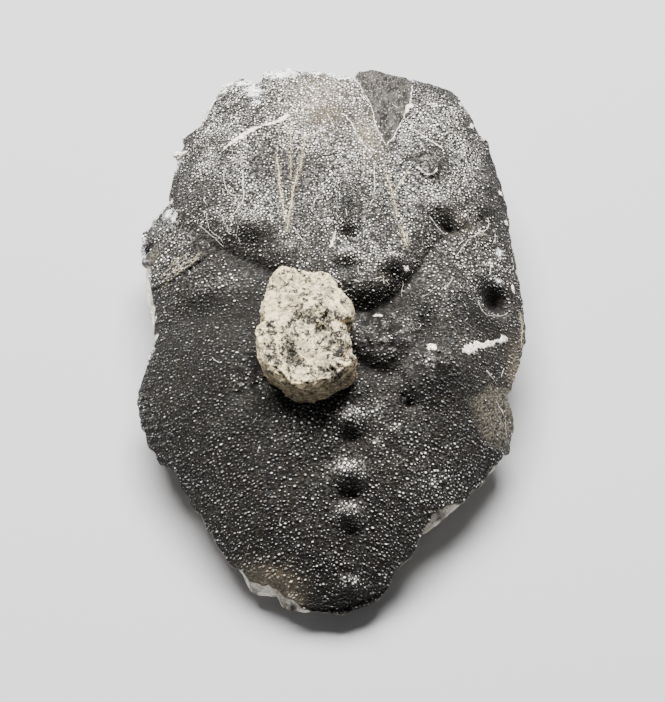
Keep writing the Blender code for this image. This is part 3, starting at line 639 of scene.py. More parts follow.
def fine_relief(x, y, values):
    """Small unevenness over the shell's main relief, stronger where it is broken or crusted."""
    rough = 0.025 + 0.16 * values["crust_and_rim_highlight"] + 0.05 * values["bare"] + 0.02 * values["dust_and_highlight"]
    z = rough * unevenness(x, y, [(0.7, 1.0, 31), (0.38, 0.8, 37)])
    z = z + gnarled_relief(x, y)
    for scar in SCARS:
        ring = scar_ring(x, y, scar)
        z = z - 0.16 * ease((1.0 - ring) / 0.2) + 0.16 * np.exp(-((ring - 1.10) / 0.11) ** 2)
    distance, side, _ = nearest_on(x, y, SIDE_LEDGE)
    above = np.exp(-distance / 1.4) * (side > 0)
    below = np.exp(-(distance / 0.28) ** 2) * (side < 0)
    z = z + 0.30 * above - 0.25 * below
    for shape in SMALL_PITS:
        z = z + mound(x, y, shape)
    edge = np.hypot(x, y) / shell_reach(np.arctan2(y, x))
    toothed = ease((edge - 0.90) / 0.07) * mound(x, y, (-22.5, -11.8, 3.5, 5.5, 1.0, 0))
    run = (y + 0.35 * x) / 0.95
    return z + 0.22 * toothed * np.sin(2 * math.pi * run)


def finished_top(x, y):
    """Height of the finished surface, small unevenness included."""
    return shell_top(x, y) + fine_relief(x, y, shell_values(x, y))


SHELL_COLUMNS, SHELL_ROWS = 236, 344


def make_shell(material):
    x, y, quads, ring = disk_grid(SHELL_COLUMNS, SHELL_ROWS)
    values = shell_values(x, y)
    z = shell_top(x, y) + fine_relief(x, y, values)
    points = [np.stack([x, y, z], -1)]
    faces = quads.tolist()
    edge_x, edge_y, edge_z = x[ring], y[ring], z[ring]
    around = np.arctan2(edge_y, edge_x)
    under_z = shell_underside(edge_x, edge_y)
    chipped = unevenness(edge_x + edge_z, edge_y - edge_z, [(1.6, 0.16, 41), (0.6, 0.09, 43)])
    # the broken edge, then the underside: share of the way down, push outwards, scale inwards
    stages = [(0.10, 0.01, 1.0), (0.32, -0.02, 1.0), (0.60, -0.12, 1.0), (0.85, -0.28, 1.0),
              (1.0, -0.50, 1.0), (1.0, 0.0, 0.93), (1.0, 0.0, 0.8), (1.0, 0.0, 0.45)]
    count = x.size
    previous = ring
    for down, push, scale in stages:
        wobble = chipped * math.sin(math.pi * min(down, 0.999))
        ring_x = edge_x * scale + (push + wobble) * np.cos(around)
        ring_y = edge_y * scale + (push + wobble) * np.sin(around)
        under_hole = 1.8 * mound(ring_x, ring_y, (HOLE[0], HOLE[1], 2.8, 2.8, 1.0, 0))
        floor_z = under_z if scale == 1.0 else shell_underside(ring_x, ring_y) - under_hole
        ring_z = edge_z * (1.0 - down) + floor_z * down
        points.append(np.stack([ring_x, ring_y, ring_z], -1))
        current = count + np.arange(len(ring))
        count += len(ring)
        loop = np.stack([previous, current, np.roll(current, -1), np.roll(previous, -1)], -1)
        faces += loop.tolist()
        previous = current
    points.append(np.array([[0.0, 0.0, float(shell_underside(np.zeros(1), np.zeros(1))[0])]]))
    fan = np.stack([previous, np.full(len(ring), count), np.roll(previous, -1)], -1)
    faces += fan.tolist()
    points = np.concatenate(points)
    shell = make_mesh("carapace_shell", points, faces, material)
    for name, value in values.items():
        whole = np.zeros(len(points))
        whole[:x.size] = value
        add_values(shell, name, whole)
    broken = np.zeros(len(points))
    broken[x.size:] = 1.0
    add_values(shell, "broken", broken)
    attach(shell, "root")
    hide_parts("carapace")


# ---------------------------------------------------------------- granules

REAR_SPACING = 0.65
FRONT_SPACING = 0.52
GRANULE_SIDES = 6
# Rings of a granule from its foot up: share of its width, share of its height, paleness
GRANULE_RINGS = [(1.0, -0.25, 0.0), (0.80, 0.50, 0.05), (0.42, 0.88, 0.60)]
SMALL_GRANULE_RINGS = [(1.0, -0.3, 0.0), (0.72, 0.62, 0.45)]


def granule_spacing(x, y):
    distance, side, _ = nearest_on(x, y, GROOVE_ROUTE)
    front = ease((distance * side + 2.0) / 6.0)
    return REAR_SPACING + (FRONT_SPACING - REAR_SPACING) * front


def surface_slope(x, y):
    step = 0.12
    dx = (shell_top(x + step, y) - shell_top(x - step, y)) / (2 * step)
    dy = (shell_top(x, y + step) - shell_top(x, y - step)) / (2 * step)
    return dx, dy


class Scatter:
    """Places that keep their distance from those placed before them."""

    CELL = 0.8

    def __init__(self, seed):
        self.rng = np.random.default_rng(seed)
        self.taken = {}

    def candidates(self, tries):
        x = self.rng.uniform(-24.0, 24.0, tries)
        y = self.rng.uniform(-35.0, 34.0, tries)
        keep = np.hypot(x, y) < shell_reach(np.arctan2(y, x)) - 0.06
        x, y = x[keep], y[keep]
        dx, dy = surface_slope(x, y)
        squeeze = 1.0 / np.sqrt(1.0 + 0.6 * np.minimum(dx * dx + dy * dy, 4.0))
        return x, y, granule_spacing(x, y) * squeeze

    def place(self, tries, own_share, other_share):
        """Keeps own_share of the spacing between these, other_share to those already there."""
        x, y, spacing = self.candidates(tries)
        own = ((spacing * own_share) ** 2).tolist()
        other = ((spacing * other_share) ** 2).tolist()
        chosen = []
        fresh = {}
        for i, (px, py) in enumerate(zip(x.tolist(), y.tolist())):
            column, row = int(px // self.CELL), int(py // self.CELL)
            cells = [(column + a, row + b) for a in (-1, 0, 1) for b in (-1, 0, 1)]
            if any((px - qx) ** 2 + (py - qy) ** 2 < own[i]
                   for cell in cells for qx, qy in fresh.get(cell, ())):
                continue
            if any((px - qx) ** 2 + (py - qy) ** 2 < other[i]
                   for cell in cells for qx, qy in self.taken.get(cell, ())):
                continue
            fresh.setdefault((column, row), []).append((px, py))
            chosen.append(i)
        for cell, places in fresh.items():
            self.taken.setdefault(cell, []).extend(places)
        return x[chosen], y[chosen]


def granule_mesh(name, x, y, size, height, rings, rng, material):
    values = shell_values(x, y)
    dx, dy = surface_slope(x, y)
    normal = np.stack([-dx, -dy, np.ones_like(dx)], -1)
    normal /= np.linalg.norm(normal, axis=1)[:, None]
    side = np.cross(np.array([0.0, 1.0, 0.0]), normal)
    side /= np.linalg.norm(side, axis=1)[:, None]
    ahead = np.cross(normal, side)
    foot = np.stack([x, y, shell_top(x, y) + fine_relief(x, y, values)], -1)
    turn = rng.uniform(0.0, math.pi, len(x))
    lean = rng.normal(0.0, 0.12, (len(x), 2))
    flat = 0.30 * (1.0 - np.clip(2.0 * values["dust_and_highlight"], 0.0, 1.0))
    oval = rng.uniform(0.92, 1.15, len(x)) + flat
    sides = GRANULE_SIDES
    points, pale = [], []
    for width, lift, tip in rings:
        for k in range(sides):
            angle = turn + 2 * math.pi * k / sides
            out = size * width
            offset = side * (np.cos(angle) * out * oval)[:, None] \
                + ahead * (np.sin(angle) * out / oval)[:, None]
            tilt = (side * lean[:, :1] + ahead * lean[:, 1:]) * (height * lift)[:, None]
            points.append(foot + offset + tilt + normal * (height * lift)[:, None])
            # pale tips widen under the dust-and-highlight mask, so painted highlights enlarge them
            pale.append(tip + 0.55 * values["dust_and_highlight"] * (tip > 0.0))
    points.append(foot + normal * height[:, None])
    pale.append(np.ones(len(x)))
    points = np.stack(points, 1)
    each = points.shape[1]
    pattern = []
    for ring_index in range(len(rings) - 1):
        low, high = ring_index * sides, (ring_index + 1) * sides
        for k in range(sides):
            n = (k + 1) % sides
            pattern.append((low + k, low + n, high + n, high + k))
    last = (len(rings) - 1) * sides
    caps = [(last + k, last + (k + 1) % sides, each - 1) for k in range(sides)]
    start = (np.arange(len(x)) * each)[:, None, None]
    faces = (np.array(pattern)[None] + start).reshape(-1, 4).tolist()
    faces += (np.array(caps)[None] + start).reshape(-1, 3).tolist()
    foot_face = np.arange(sides)[::-1][None] + (np.arange(len(x)) * each)[:, None]
    faces += foot_face.tolist()
    piece = make_mesh(name, points.reshape(-1, 3), faces, material)
    add_values(piece, "tip", np.stack(pale, 1).ravel())
    # pale tips: wear, made paler under painted highlights, dimmed under painted shade and dimmer in
    # a broad patch on the right
    wear_and_light = np.clip(rng.normal(0.46, 0.26, len(x)) + 0.75 * values["dust_and_highlight"], 0.08, 1.0)
    wear_and_light *= 1.0 - 0.7 * values["painted_shade"] * (rng.uniform(size=len(x)) < 0.85)
    wear_and_light *= 1.0 - mound(x, y, (13.0, -9.0, 7.5, 9.0, 0.36, 0))
    add_values(piece, "wear_and_light", np.repeat(wear_and_light, each))
    for mask, value in values.items():
        add_values(piece, mask, np.repeat(value, each))
    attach(piece, "root")


def make_granules(material):
    scatter = Scatter(2024)
    rng = np.random.default_rng(77)
    x, y = scatter.place(110000, 0.68, 0.0)
    keep = rng.uniform(size=len(x)) < granule_cover(x, y) * 0.80
    x, y = x[keep], y[keep]
    spacing = granule_spacing(x, y)
    size = spacing * (0.14 + 0.24 * rng.uniform(size=len(x)) ** 1.7)
    height = size * rng.uniform(0.50, 0.90, len(x))
    values = shell_values(x, y)
    height *= 1.0 - 0.5 * np.clip(values["bare"] + values["crust_and_rim_highlight"] * 0.5, 0.0, 1.0)
    _, side, _ = nearest_on(x, y, GROOVE_ROUTE)
    for name, part in (("front_granules", side > 0), ("rear_granules", side <= 0)):
        granule_mesh(name, x[part], y[part], size[part], height[part], GRANULE_RINGS, rng,
                     material)
    x, y = scatter.place(110000, 0.62, 0.52)
    keep = rng.uniform(size=len(x)) < granule_cover(x, y) * 0.85
    x, y = x[keep], y[keep]
    size = granule_spacing(x, y) * rng.uniform(0.08, 0.16, len(x))
    granule_mesh("small_granules", x, y, size, size * rng.uniform(0.5, 0.9, len(x)),
                 SMALL_GRANULE_RINGS, rng, material)


# ---------------------------------------------------------------- veins, bars and chips

def along_route(route, step):
    """Points a step apart on a smooth curve through a route, with their shares of its length."""
    route = np.array(route, dtype=float)
    lengths = np.hypot(*np.diff(route, axis=0).T)
    station = np.concatenate([[0.0], np.cumsum(lengths)])
    count = max(int(station[-1] / step), 4)
    share = np.linspace(0.0, 1.0, count + 1)
    at = share * station[-1]
    padded = np.vstack([2 * route[0] - route[1], route, 2 * route[-1] - route[-2]])
    span = np.clip(np.searchsorted(station, at, side="right") - 1, 0, len(route) - 2)
    t = ((at - station[span]) / lengths[span])[:, None]
    p0, p1, p2, p3 = (padded[span + k] for k in range(4))
    curve = 0.5 * (2 * p1 + (p2 - p0) * t + (2 * p0 - 5 * p1 + 4 * p2 - p3) * t ** 2
                   + (3 * p1 - p0 - 3 * p2 + p3) * t ** 3)
    return curve, share


def ribbon(route, widths, lift, seed, step=0.10):
    """A thin strip lying on the shell along a route, closed below, with ragged edges."""
    curve, share = along_route(route, step)
    rng = np.random.default_rng(seed)
    run = np.gradient(curve, axis=0)
    run /= np.linalg.norm(run, axis=1)[:, None]
    across = np.stack([-run[:, 1], run[:, 0]], -1)
    place = share * len(share) * step
    wiggle = min(max(widths) / 0.07, 1.0)
    curve = curve + across * unevenness(place, place * 0, [(0.9, 0.10 * wiggle, seed),
                                                          (0.4, 0.06 * wiggle, seed + 9)])[:, None]
    width = np.interp(share, np.linspace(0, 1, len(widths)), widths)
    width = width * (0.95 + unevenness(place, place * 0, [(0.7, 0.40, seed + 5),
                                                              (0.3, 0.30, seed + 7)]))
    taper = np.clip(np.minimum(share, 1 - share) / 0.04, 0.05, 1.0)
    left = width * taper * rng.uniform(0.5, 1.4, len(share))
    right = width * taper * rng.uniform(0.5, 1.4, len(share))
    top = lift * taper * rng.uniform(0.75, 1.15, len(share))
    section = [(-1.0, -0.10, 0.0), (-0.72, 0.0, 0.8), (-0.36, 0.0, 1.0), (0.0, 0.0, 0.9),
               (0.36, 0.0, 1.0), (0.72, 0.0, 0.8), (1.0, -0.10, 0.0), (0.0, -0.25, 0.0)]
    points = []
    for place, sink, rise in section:
        reach = np.where(place < 0, left, right) * place
        flat = curve + across * reach[:, None]
        lumpy = top * rise * rng.uniform(0.35, 1.65, len(share))
        height = finished_top(flat[:, 0], flat[:, 1]) + sink + lumpy
        points.append(np.stack([flat[:, 0], flat[:, 1], height], -1))
    points = np.stack(points, 1)
    count, around = points.shape[:2]
    faces = []
    for i in range(count - 1):
        for k in range(around):
            n = (k + 1) % around
            faces.append((i * around + k, i * around + n, (i + 1) * around + n,
                          (i + 1) * around + k))
    faces.append(tuple(range(around))[::-1])
    faces.append(tuple((count - 1) * around + k for k in range(around)))
    return points.reshape(-1, 3), faces


def chip(shape, seed):
    """A small angular chip set in the shell."""
    x, y, half_width, half_length, height, turn = shape
    bm = bmesh.new()
    bmesh.ops.create_icosphere(bm, subdivisions=4, radius=1.0)
    ball = np.array([v.co[:] for v in bm.verts])
    faces = [[v.index for v in f.verts] for f in bm.faces]
    bm.free()
    ball *= (1.0 + grain(ball, [(0.8, 0.75, seed), (0.35, 0.40, seed + 1)]))[:, None]
    c, s = math.cos(math.radians(turn)), math.sin(math.radians(turn))
    flat_x = x + ball[:, 0] * half_width * c - ball[:, 1] * half_length * s
    flat_y = y + ball[:, 0] * half_width * s + ball[:, 1] * half_length * c
    base = float(finished_top(np.array([x]), np.array([y]))[0])
    dx, dy = np.clip(surface_slope(np.array([x]), np.array([y])), -0.6, 0.6)
    z = base + (flat_x - x) * dx[0] + (flat_y - y) * dy[0] + ball[:, 2] * height
    return np.stack([flat_x, flat_y, z], -1), faces


def joined(name, parts, material):
    points, faces, start = [], [], 0
    for part_points, part_faces in parts:
        points.append(part_points)
        faces += [[index + start for index in face] for face in part_faces]
        start += len(part_points)
    return make_mesh(name, np.concatenate(points), faces, material)


def hairs(rng):
    """Short pale scratches and threads, crowded over a few parts of the shell."""
    routes = []
    for mid_x, mid_y, spread_x, spread_y, count in HAIRS:
        for _ in range(count):
            x = mid_x + rng.normal(0.0, spread_x)
            y = mid_y + rng.normal(0.0, spread_y)
            turn = rng.uniform(0.0, 2 * math.pi)
            route = [(x, y)]
            for _ in range(rng.integers(1, 4)):
                turn += rng.normal(0.0, 0.45)
                step = rng.uniform(0.15, 0.6)
                x += step * math.cos(turn)
                y += step * math.sin(turn)
                route.append((x, y))
            if all(math.hypot(px, py) < SHELL_OUTLINE.radius(math.atan2(py, px)) - 0.5
                   for px, py in route):
                routes.append(route)
    return routes


def make_markings(white, tan):
    rng = np.random.default_rng(4100)
    parts = [ribbon(route, [0.042, 0.036, 0.026], 0.05, 300 + i, 0.14)
             for i, route in enumerate(hairs(rng))]
    parts += [ribbon(route, [half * 0.75, half * 0.6, half * 0.75], 0.05, 100 + i)
             for i, (route, half) in enumerate(VEINS)]
    parts += [ribbon(route, widths, 0.20, 140 + i, 0.14)
              for i, (route, widths) in enumerate(BARS)]
    parts += [chip(shape, 160 + 2 * i) for i, shape in enumerate(CHIPS)]
    piece = joined("calcite_veins", parts, white)
    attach(piece, "root")
    parts = [ribbon(route, [half * 0.3, half * 0.7, half * 0.5], 0.03, 120 + i)
             for i, (route, half) in enumerate(TAN_VEINS)]
    piece = joined("tan_veins", parts, tan)
    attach(piece, "root")


# ---------------------------------------------------------------- rock

def push_out(points, faces, amounts):
    """Moves each point along the surface's normal there."""
    mesh = bpy.data.meshes.new("scratch")
    mesh.from_pydata(points.tolist(), [], faces)
    normals = np.zeros(len(points) * 3, dtype=np.float32)
    mesh.vertices.foreach_get("normal", normals)
    bpy.data.meshes.remove(mesh)
    return points + normals.reshape(-1, 3) * amounts[:, None]


INFILL_SEGMENTS = 620
FLANK_STEPS = 54
ROCK_GAP = 0.12          # mm between the rock's top and the underside of the shell


def make_infill(material):
    """Rings from the middle of the top, out under the shell's edge, down the flank and back in
    under the resting face."""
    segments = INFILL_SEGMENTS
    angle = np.linspace(-math.pi, math.pi, segments, endpoint=False)
    widest = INFILL_OUTLINE.radius(angle)
    widest = widest + unevenness(widest * np.cos(angle), widest * np.sin(angle),
                                 [(1.8, 0.12, 47), (0.8, 0.07, 53)])
    inset = BASE_INSET + (BASE_INSET_REAR - BASE_INSET) * np.clip(-np.sin(angle), 0.0, 1.0)
    tops = [0.35, 0.7, 0.82] + list(np.linspace(0.86, 1.0, 12))
    flanks = list(np.linspace(0.0, 1.0, FLANK_STEPS + 1)[1:])
    bases = [0.985, 0.95, 0.85, 0.6, 0.3]
    rim_x, rim_y = widest * np.cos(angle), widest * np.sin(angle)
    rim_z = shell_underside(rim_x, rim_y) - ROCK_GAP
    rows, flank_share = [], []
    for share in tops:
        x, y = rim_x * share, rim_y * share
        rows.append(np.stack([x, y, shell_underside(x, y) - ROCK_GAP], -1))
        flank_share.append(0.0)
    for sunk in flanks:
        waist = unevenness(rim_x + 5.0 * sunk, rim_y - 4.0 * sunk, [(5.0, 0.4, 59)])
        reach = widest - inset * sunk + math.sin(math.pi * sunk) * (0.3 + waist)
        rows.append(np.stack([reach * np.cos(angle), reach * np.sin(angle),
                              rim_z * (1.0 - sunk)], -1))
        flank_share.append(sunk)
    foot = widest - inset
    for share in bases:
        rows.append(np.stack([foot * share * np.cos(angle), foot * share * np.sin(angle),
                              np.zeros(segments)], -1))
        flank_share.append(1.0)
    points = np.concatenate(rows)
    share = np.repeat(flank_share, segments)
    faces = []
    index = np.arange(len(rows) * segments).reshape(len(rows), segments)
    for i in range(len(rows) - 1):
        faces += np.stack([index[i], index[i + 1], np.roll(index[i + 1], -1),
                           np.roll(index[i], -1)], -1).tolist()
    top_middle, base_middle = len(points), len(points) + 1
    middle_z = float(shell_underside(np.zeros(1), np.zeros(1))[0]) - ROCK_GAP
    points = np.vstack([points, [[0.0, 0.0, middle_z], [0.0, 0.0, 0.0]]])
    share = np.concatenate([share, [0.0, 1.0]])
    faces += [[top_middle, int(a), int(b)] for a, b in zip(index[0], np.roll(index[0], -1))]
    faces += [[base_middle, int(b), int(a)] for a, b in zip(index[-1], np.roll(index[-1], -1))]
    rough = grain(points, [(2.4, 0.22, 61), (1.1, 0.16, 67), (0.5, 0.11, 71), (0.3, 0.06, 73)])
    pits = np.minimum(grain(points, [(0.9, 1.0, 79)]) + 0.35, 0.0) * 0.35
    fade = ease(share / 0.06) * ease((1.0 - share) / 0.05)
    points = push_out(points, faces, (rough + pits) * np.maximum(fade, 0.15 * (share < 0.5)))
    # the top stays below the floor of the deep hole in the shell
    reach = np.hypot(points[:, 0] - HOLE[0], points[:, 1] - HOLE[1])
    below_hole = (reach < 3.0) & (share < 0.5)
    floor = shell_top(points[:, 0], points[:, 1]) - 0.5
    points[:, 2] = np.where(below_hole, np.minimum(points[:, 2], floor), points[:, 2])
    points[:, 2] = np.maximum(points[:, 2], 0.0)
    points[share >= 1.0, 2] = 0.0
    infill = make_mesh("matrix_infill_rock", points, faces, material)
    # painted shade: the infill's pits are darkened
    add_values(infill, "pit_shade", np.clip(-pits * 8.0, 0.0, 1.0))
    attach(infill, "root")
    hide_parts("matrix_infill")


# Hollows in the lump, painted dark as painted shade: x, y, half-width, half-length, depth, turn
LUMP_HOLLOWS = [
    (-3.9, -5.7, 0.9, 0.8, -0.35, 20), (-1.0, -5.1, 0.40, 0.42, -0.8, 0),
    (-4.7, -9.9, 0.40, 1.30, -0.8, 8), (0.1, -11.7, 0.70, 0.50, -0.5, 15),
    (-6.8, -1.7, 0.42, 0.14, -0.4, 8), (-1.3, -6.7, 0.50, 0.28, -0.5, -20),
    (-3.3, -7.0, 0.35, 0.40, -0.4, 0), (-3.9, -11.0, 0.30, 0.40, -0.4, 0),
    (-3.4, -2.2, 0.45, 0.20, -0.25, 0), (-7.1, -7.1, 0.35, 0.60, -0.3, 0),
    (1.3, -6.1, 0.9, 0.14, -0.5, -4), (-0.9, -5.6, 0.40, 0.60, -0.3, 0),
]
# Where dark grains crowd together in the lump
LUMP_SPECKLED = [
    (-4.1, -5.3, 1.5, 0.9, 1.0, 35), (-2.4, -5.1, 0.7, 0.9, 0.9, 0),
    (-1.3, -6.6, 1.0, 0.5, 1.0, -15),
    (-3.3, -7.0, 0.7, 0.6, 0.9, 0), (-7.2, -6.6, 0.6, 1.0, 0.9, 0), (-4.8, -8.3, 0.7, 1.6, 1.0, -6),
    (-4.6, -10.3, 0.8, 1.3, 1.0, 8), (-3.9, -11.0, 0.6, 0.7, 0.9, 0),
    (0.1, -11.7, 1.1, 1.0, 1.0, 0),
    (0.6, -8.3, 1.5, 2.2, 0.75, 0), (-1.5, -8.9, 1.4, 0.9, 0.6, 0), (-6.5, -8.9, 1.4, 1.4, 0.6, 0),
    (-3.4, -2.3, 1.0, 0.7, 0.55, 0), (-1.0, -5.3, 0.7, 0.9, 0.7, 0),
    (-2.4, -11.3, 2.0, 1.0, 0.45, 0),
]
LUMP_SUBDIVISIONS = 7
LUMP_SQUARENESS = 3.6
LUMP_UNEVENNESS = [(3.6, 0.32, 19), (1.7, 0.20, 23), (0.8, 0.08, 29)]


def make_lump(material):
    """A ball squared up into a rock: its underside follows the shell and its top is uneven."""
    bm = bmesh.new()
    bmesh.ops.create_icosphere(bm, subdivisions=LUMP_SUBDIVISIONS, radius=1.0)
    ball = np.array([v.co[:] for v in bm.verts])
    faces = [[v.index for v in f.verts] for f in bm.faces]
    bm.free()
    angle = np.arctan2(ball[:, 1], ball[:, 0])
    rise = np.clip((ball[:, 2] + 0.80) / 1.50, 0.0, 1.0)
    spread = (1.0 - np.abs(ball[:, 2]) ** LUMP_SQUARENESS) ** (1.0 / LUMP_SQUARENESS)
    reach = LUMP_OUTLINE.radius(angle) * spread * (1.03 - 0.03 * rise)
    x = LUMP_MIDDLE[0] + reach * np.cos(angle)
    y = LUMP_MIDDLE[1] + reach * np.sin(angle)
    bottom = shell_top(x, y) - 0.1
    slope = 0.05 * (x - LUMP_MIDDLE[0]) + 0.04 * (y - LUMP_MIDDLE[1])
    top = LUMP_TOP + slope + unevenness(x, y, LUMP_UNEVENNESS)
    warp = unevenness(x, y, [(0.9, 0.35, 107), (0.4, 0.2, 109)])
    hollow = np.zeros(len(x))
    for shape in LUMP_HOLLOWS:
        hollow -= mound(x + warp, y - warp, shape)
    z = bottom + np.maximum(top - hollow - bottom, 0.0) * ease(rise) ** 0.8
    side = unevenness(x + 1.7 * z, y - 1.3 * z, LUMP_UNEVENNESS) * ease(rise * 4.0)
    x = x + side * np.cos(angle) * spread
    y = y + side * np.sin(angle) * spread
    points = np.stack([x, y, z], -1)
    rough = grain(points, [(1.3, 0.20, 83), (0.62, 0.16, 89), (0.33, 0.11, 97),
                           (0.19, 0.06, 101)])
    speckled = np.full(len(x), 0.12)
    for shape in LUMP_SPECKLED:
        crowd = np.minimum(1.5 * mound(x + 0.6 * warp, y - 0.6 * warp, shape), 1.0)
        speckled = np.maximum(speckled, crowd)
    speck = grain(points, [(0.42, 1.0, 103), (0.21, 0.7, 113)])
    pits = np.clip((speck - 0.55 + 0.42 * speckled) * 2.2, 0.0, 1.0)
    points = push_out(points, faces, rough - 0.16 * pits)
    lump = make_mesh("matrix_lump_rock", points, faces, material)
    # painted shade: the lump's hollows are darkened
    add_values(lump, "pit_shade", np.clip(hollow * 1.5 * (0.55 + 0.6 * speck), 0.0, 1.0))
    add_values(lump, "speckled", speckled)
    # the near face, turned away from the light: fibrous strata with painted shade
    near = ease((-9.6 - points[:, 1]) / 1.8) * ease((23.6 - points[:, 2]) / 1.8)
    add_values(lump, "shaded_near_face", near)
    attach(lump, "root")
    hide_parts("matrix_lump")


# ---------------------------------------------------------------- materials

class Paint:
    """Builds one material's nodes."""

    def __init__(self, name):
        self.material = bpy.data.materials.new(name)
        self.material.use_nodes = True
        self.tree = self.material.node_tree
        self.shader = self.tree.nodes["Principled BSDF"]
        where = self.tree.nodes.new("ShaderNodeTexCoord")
        scale = self.tree.nodes.new("ShaderNodeVectorMath")
        scale.operation = "SCALE"
        scale.inputs["Scale"].default_value = 1.0 / MM
        self.link(where.outputs["Object"], scale.inputs[0])
        self.place = scale.outputs[0]

    def link(self, source, target):
        self.tree.links.new(source, target)

    def noise(self, size, detail=3.0, roughness=0.6, stretch=1.0):
        """Noise with features of about that many millimetres, drawn out sideways by stretch."""
        squeeze = self.tree.nodes.new("ShaderNodeVectorMath")
        squeeze.operation = "MULTIPLY"
        squeeze.inputs[1].default_value = (1.0 / stretch, 1.0, 1.0)
        self.link(self.place, squeeze.inputs[0])
        node = self.tree.nodes.new("ShaderNodeTexNoise")
        node.inputs["Scale"].default_value = 1.0 / size
        node.inputs["Detail"].default_value = detail
        node.inputs["Roughness"].default_value = roughness
        self.link(squeeze.outputs[0], node.inputs["Vector"])
        return node.outputs["Fac"]

    def value(self, name):
        node = self.tree.nodes.new("ShaderNodeAttribute")
        node.attribute_name = name
        return node.outputs["Fac"]

    def steps(self, source, low, high, to_low=0.0, to_high=1.0):
        node = self.tree.nodes.new("ShaderNodeMapRange")
        node.interpolation_type = "SMOOTHSTEP"
        node.inputs["From Min"].default_value = low
        node.inputs["From Max"].default_value = high
        node.inputs["To Min"].default_value = to_low
        node.inputs["To Max"].default_value = to_high
        self.link(source, node.inputs["Value"])
        return node.outputs["Result"]

    def math(self, operation, first, second):
        node = self.tree.nodes.new("ShaderNodeMath")
        node.operation = operation
        for socket, value in zip(node.inputs, (first, second)):
            if isinstance(value, (int, float)):
                socket.default_value = value
            else:
                self.link(value, socket)
        return node.outputs[0]

    def times(self, first, second):
        return self.math("MULTIPLY", first, second)

    def plus(self, first, second):
        return self.math("ADD", first, second)

    def mix(self, share, first, second):
        node = self.tree.nodes.new("ShaderNodeMix")
        node.data_type = "RGBA"
        if isinstance(share, (int, float)):
            node.inputs["Factor"].default_value = share
        else:
            self.link(share, node.inputs["Factor"])
        for socket, value in ((node.inputs[6], first), (node.inputs[7], second)):
            if isinstance(value, tuple):
                socket.default_value = value + (1.0,)
            else:
                self.link(value, socket)
        return node.outputs[2]

    def finish(self, colour, roughness, bumps):
        """Colour and roughness may be sockets; bumps are (height socket, distance in mm)."""
        self.link(colour, self.shader.inputs["Base Color"])
        if isinstance(roughness, (int, float)):
            self.shader.inputs["Roughness"].default_value = roughness
        else:
            self.link(roughness, self.shader.inputs["Roughness"])
        normal = None
        for height, distance in bumps:
            bump = self.tree.nodes.new("ShaderNodeBump")
            bump.inputs["Distance"].default_value = distance * MM
            self.link(height, bump.inputs["Height"])
            if normal is not None:
                self.link(normal, bump.inputs["Normal"])
            normal = bump.outputs["Normal"]
        if normal is not None:
            self.link(normal, self.shader.inputs["Normal"])
        return self.material


SHELL_BLACK = (0.008, 0.0075, 0.007)
SHELL_GREY = (0.044, 0.042, 0.039)
SHELL_BROWN = (0.038, 0.031, 0.024)
DUST_AND_HIGHLIGHT_GREY = (0.50, 0.485, 0.46)
STREAK = (0.44, 0.385, 0.27)
WORN_AND_LIT_TIP = (0.95, 0.93, 0.885)
STREAKED_TIP = (0.84, 0.76, 0.56)
ROCK_PALE = (0.86, 0.82, 0.74)
ROCK_TAN = (0.30, 0.245, 0.165)
ROCK_DARK = (0.075, 0.066, 0.055)
LUMP_CREAM = (0.64, 0.54, 0.345)
LUMP_TAN = (0.27, 0.225, 0.15)
LUMP_GREY = (0.20, 0.182, 0.145)
LUMP_SHADED_BROWN = (0.070, 0.058, 0.040)
LUMP_DARK = (0.022, 0.021, 0.020)
CALCITE = (0.82, 0.78, 0.71)
CALCITE_DULL = (0.38, 0.34, 0.29)
TAN_CALCITE = (0.60, 0.52, 0.36)
TAN_CALCITE_DULL = (0.20, 0.165, 0.11)
INFILL_TAN = (0.36, 0.32, 0.25)
WEDGE_BLACK = (0.010, 0.0095, 0.009)
WEDGE_GREY = (0.050, 0.046, 0.041)
WEDGE_PALE = (0.24, 0.225, 0.20)
BARE_DARK = (0.036, 0.032, 0.026)
BARE_TAN = (0.185, 0.168, 0.128)
RIM_DARK = (0.030, 0.027, 0.023)
RIM_TAN = (0.26, 0.235, 0.19)
CRUST_AND_HIGHLIGHT_WHITE = (0.76, 0.765, 0.77)
CRUST_DULL = (0.27, 0.27, 0.27)


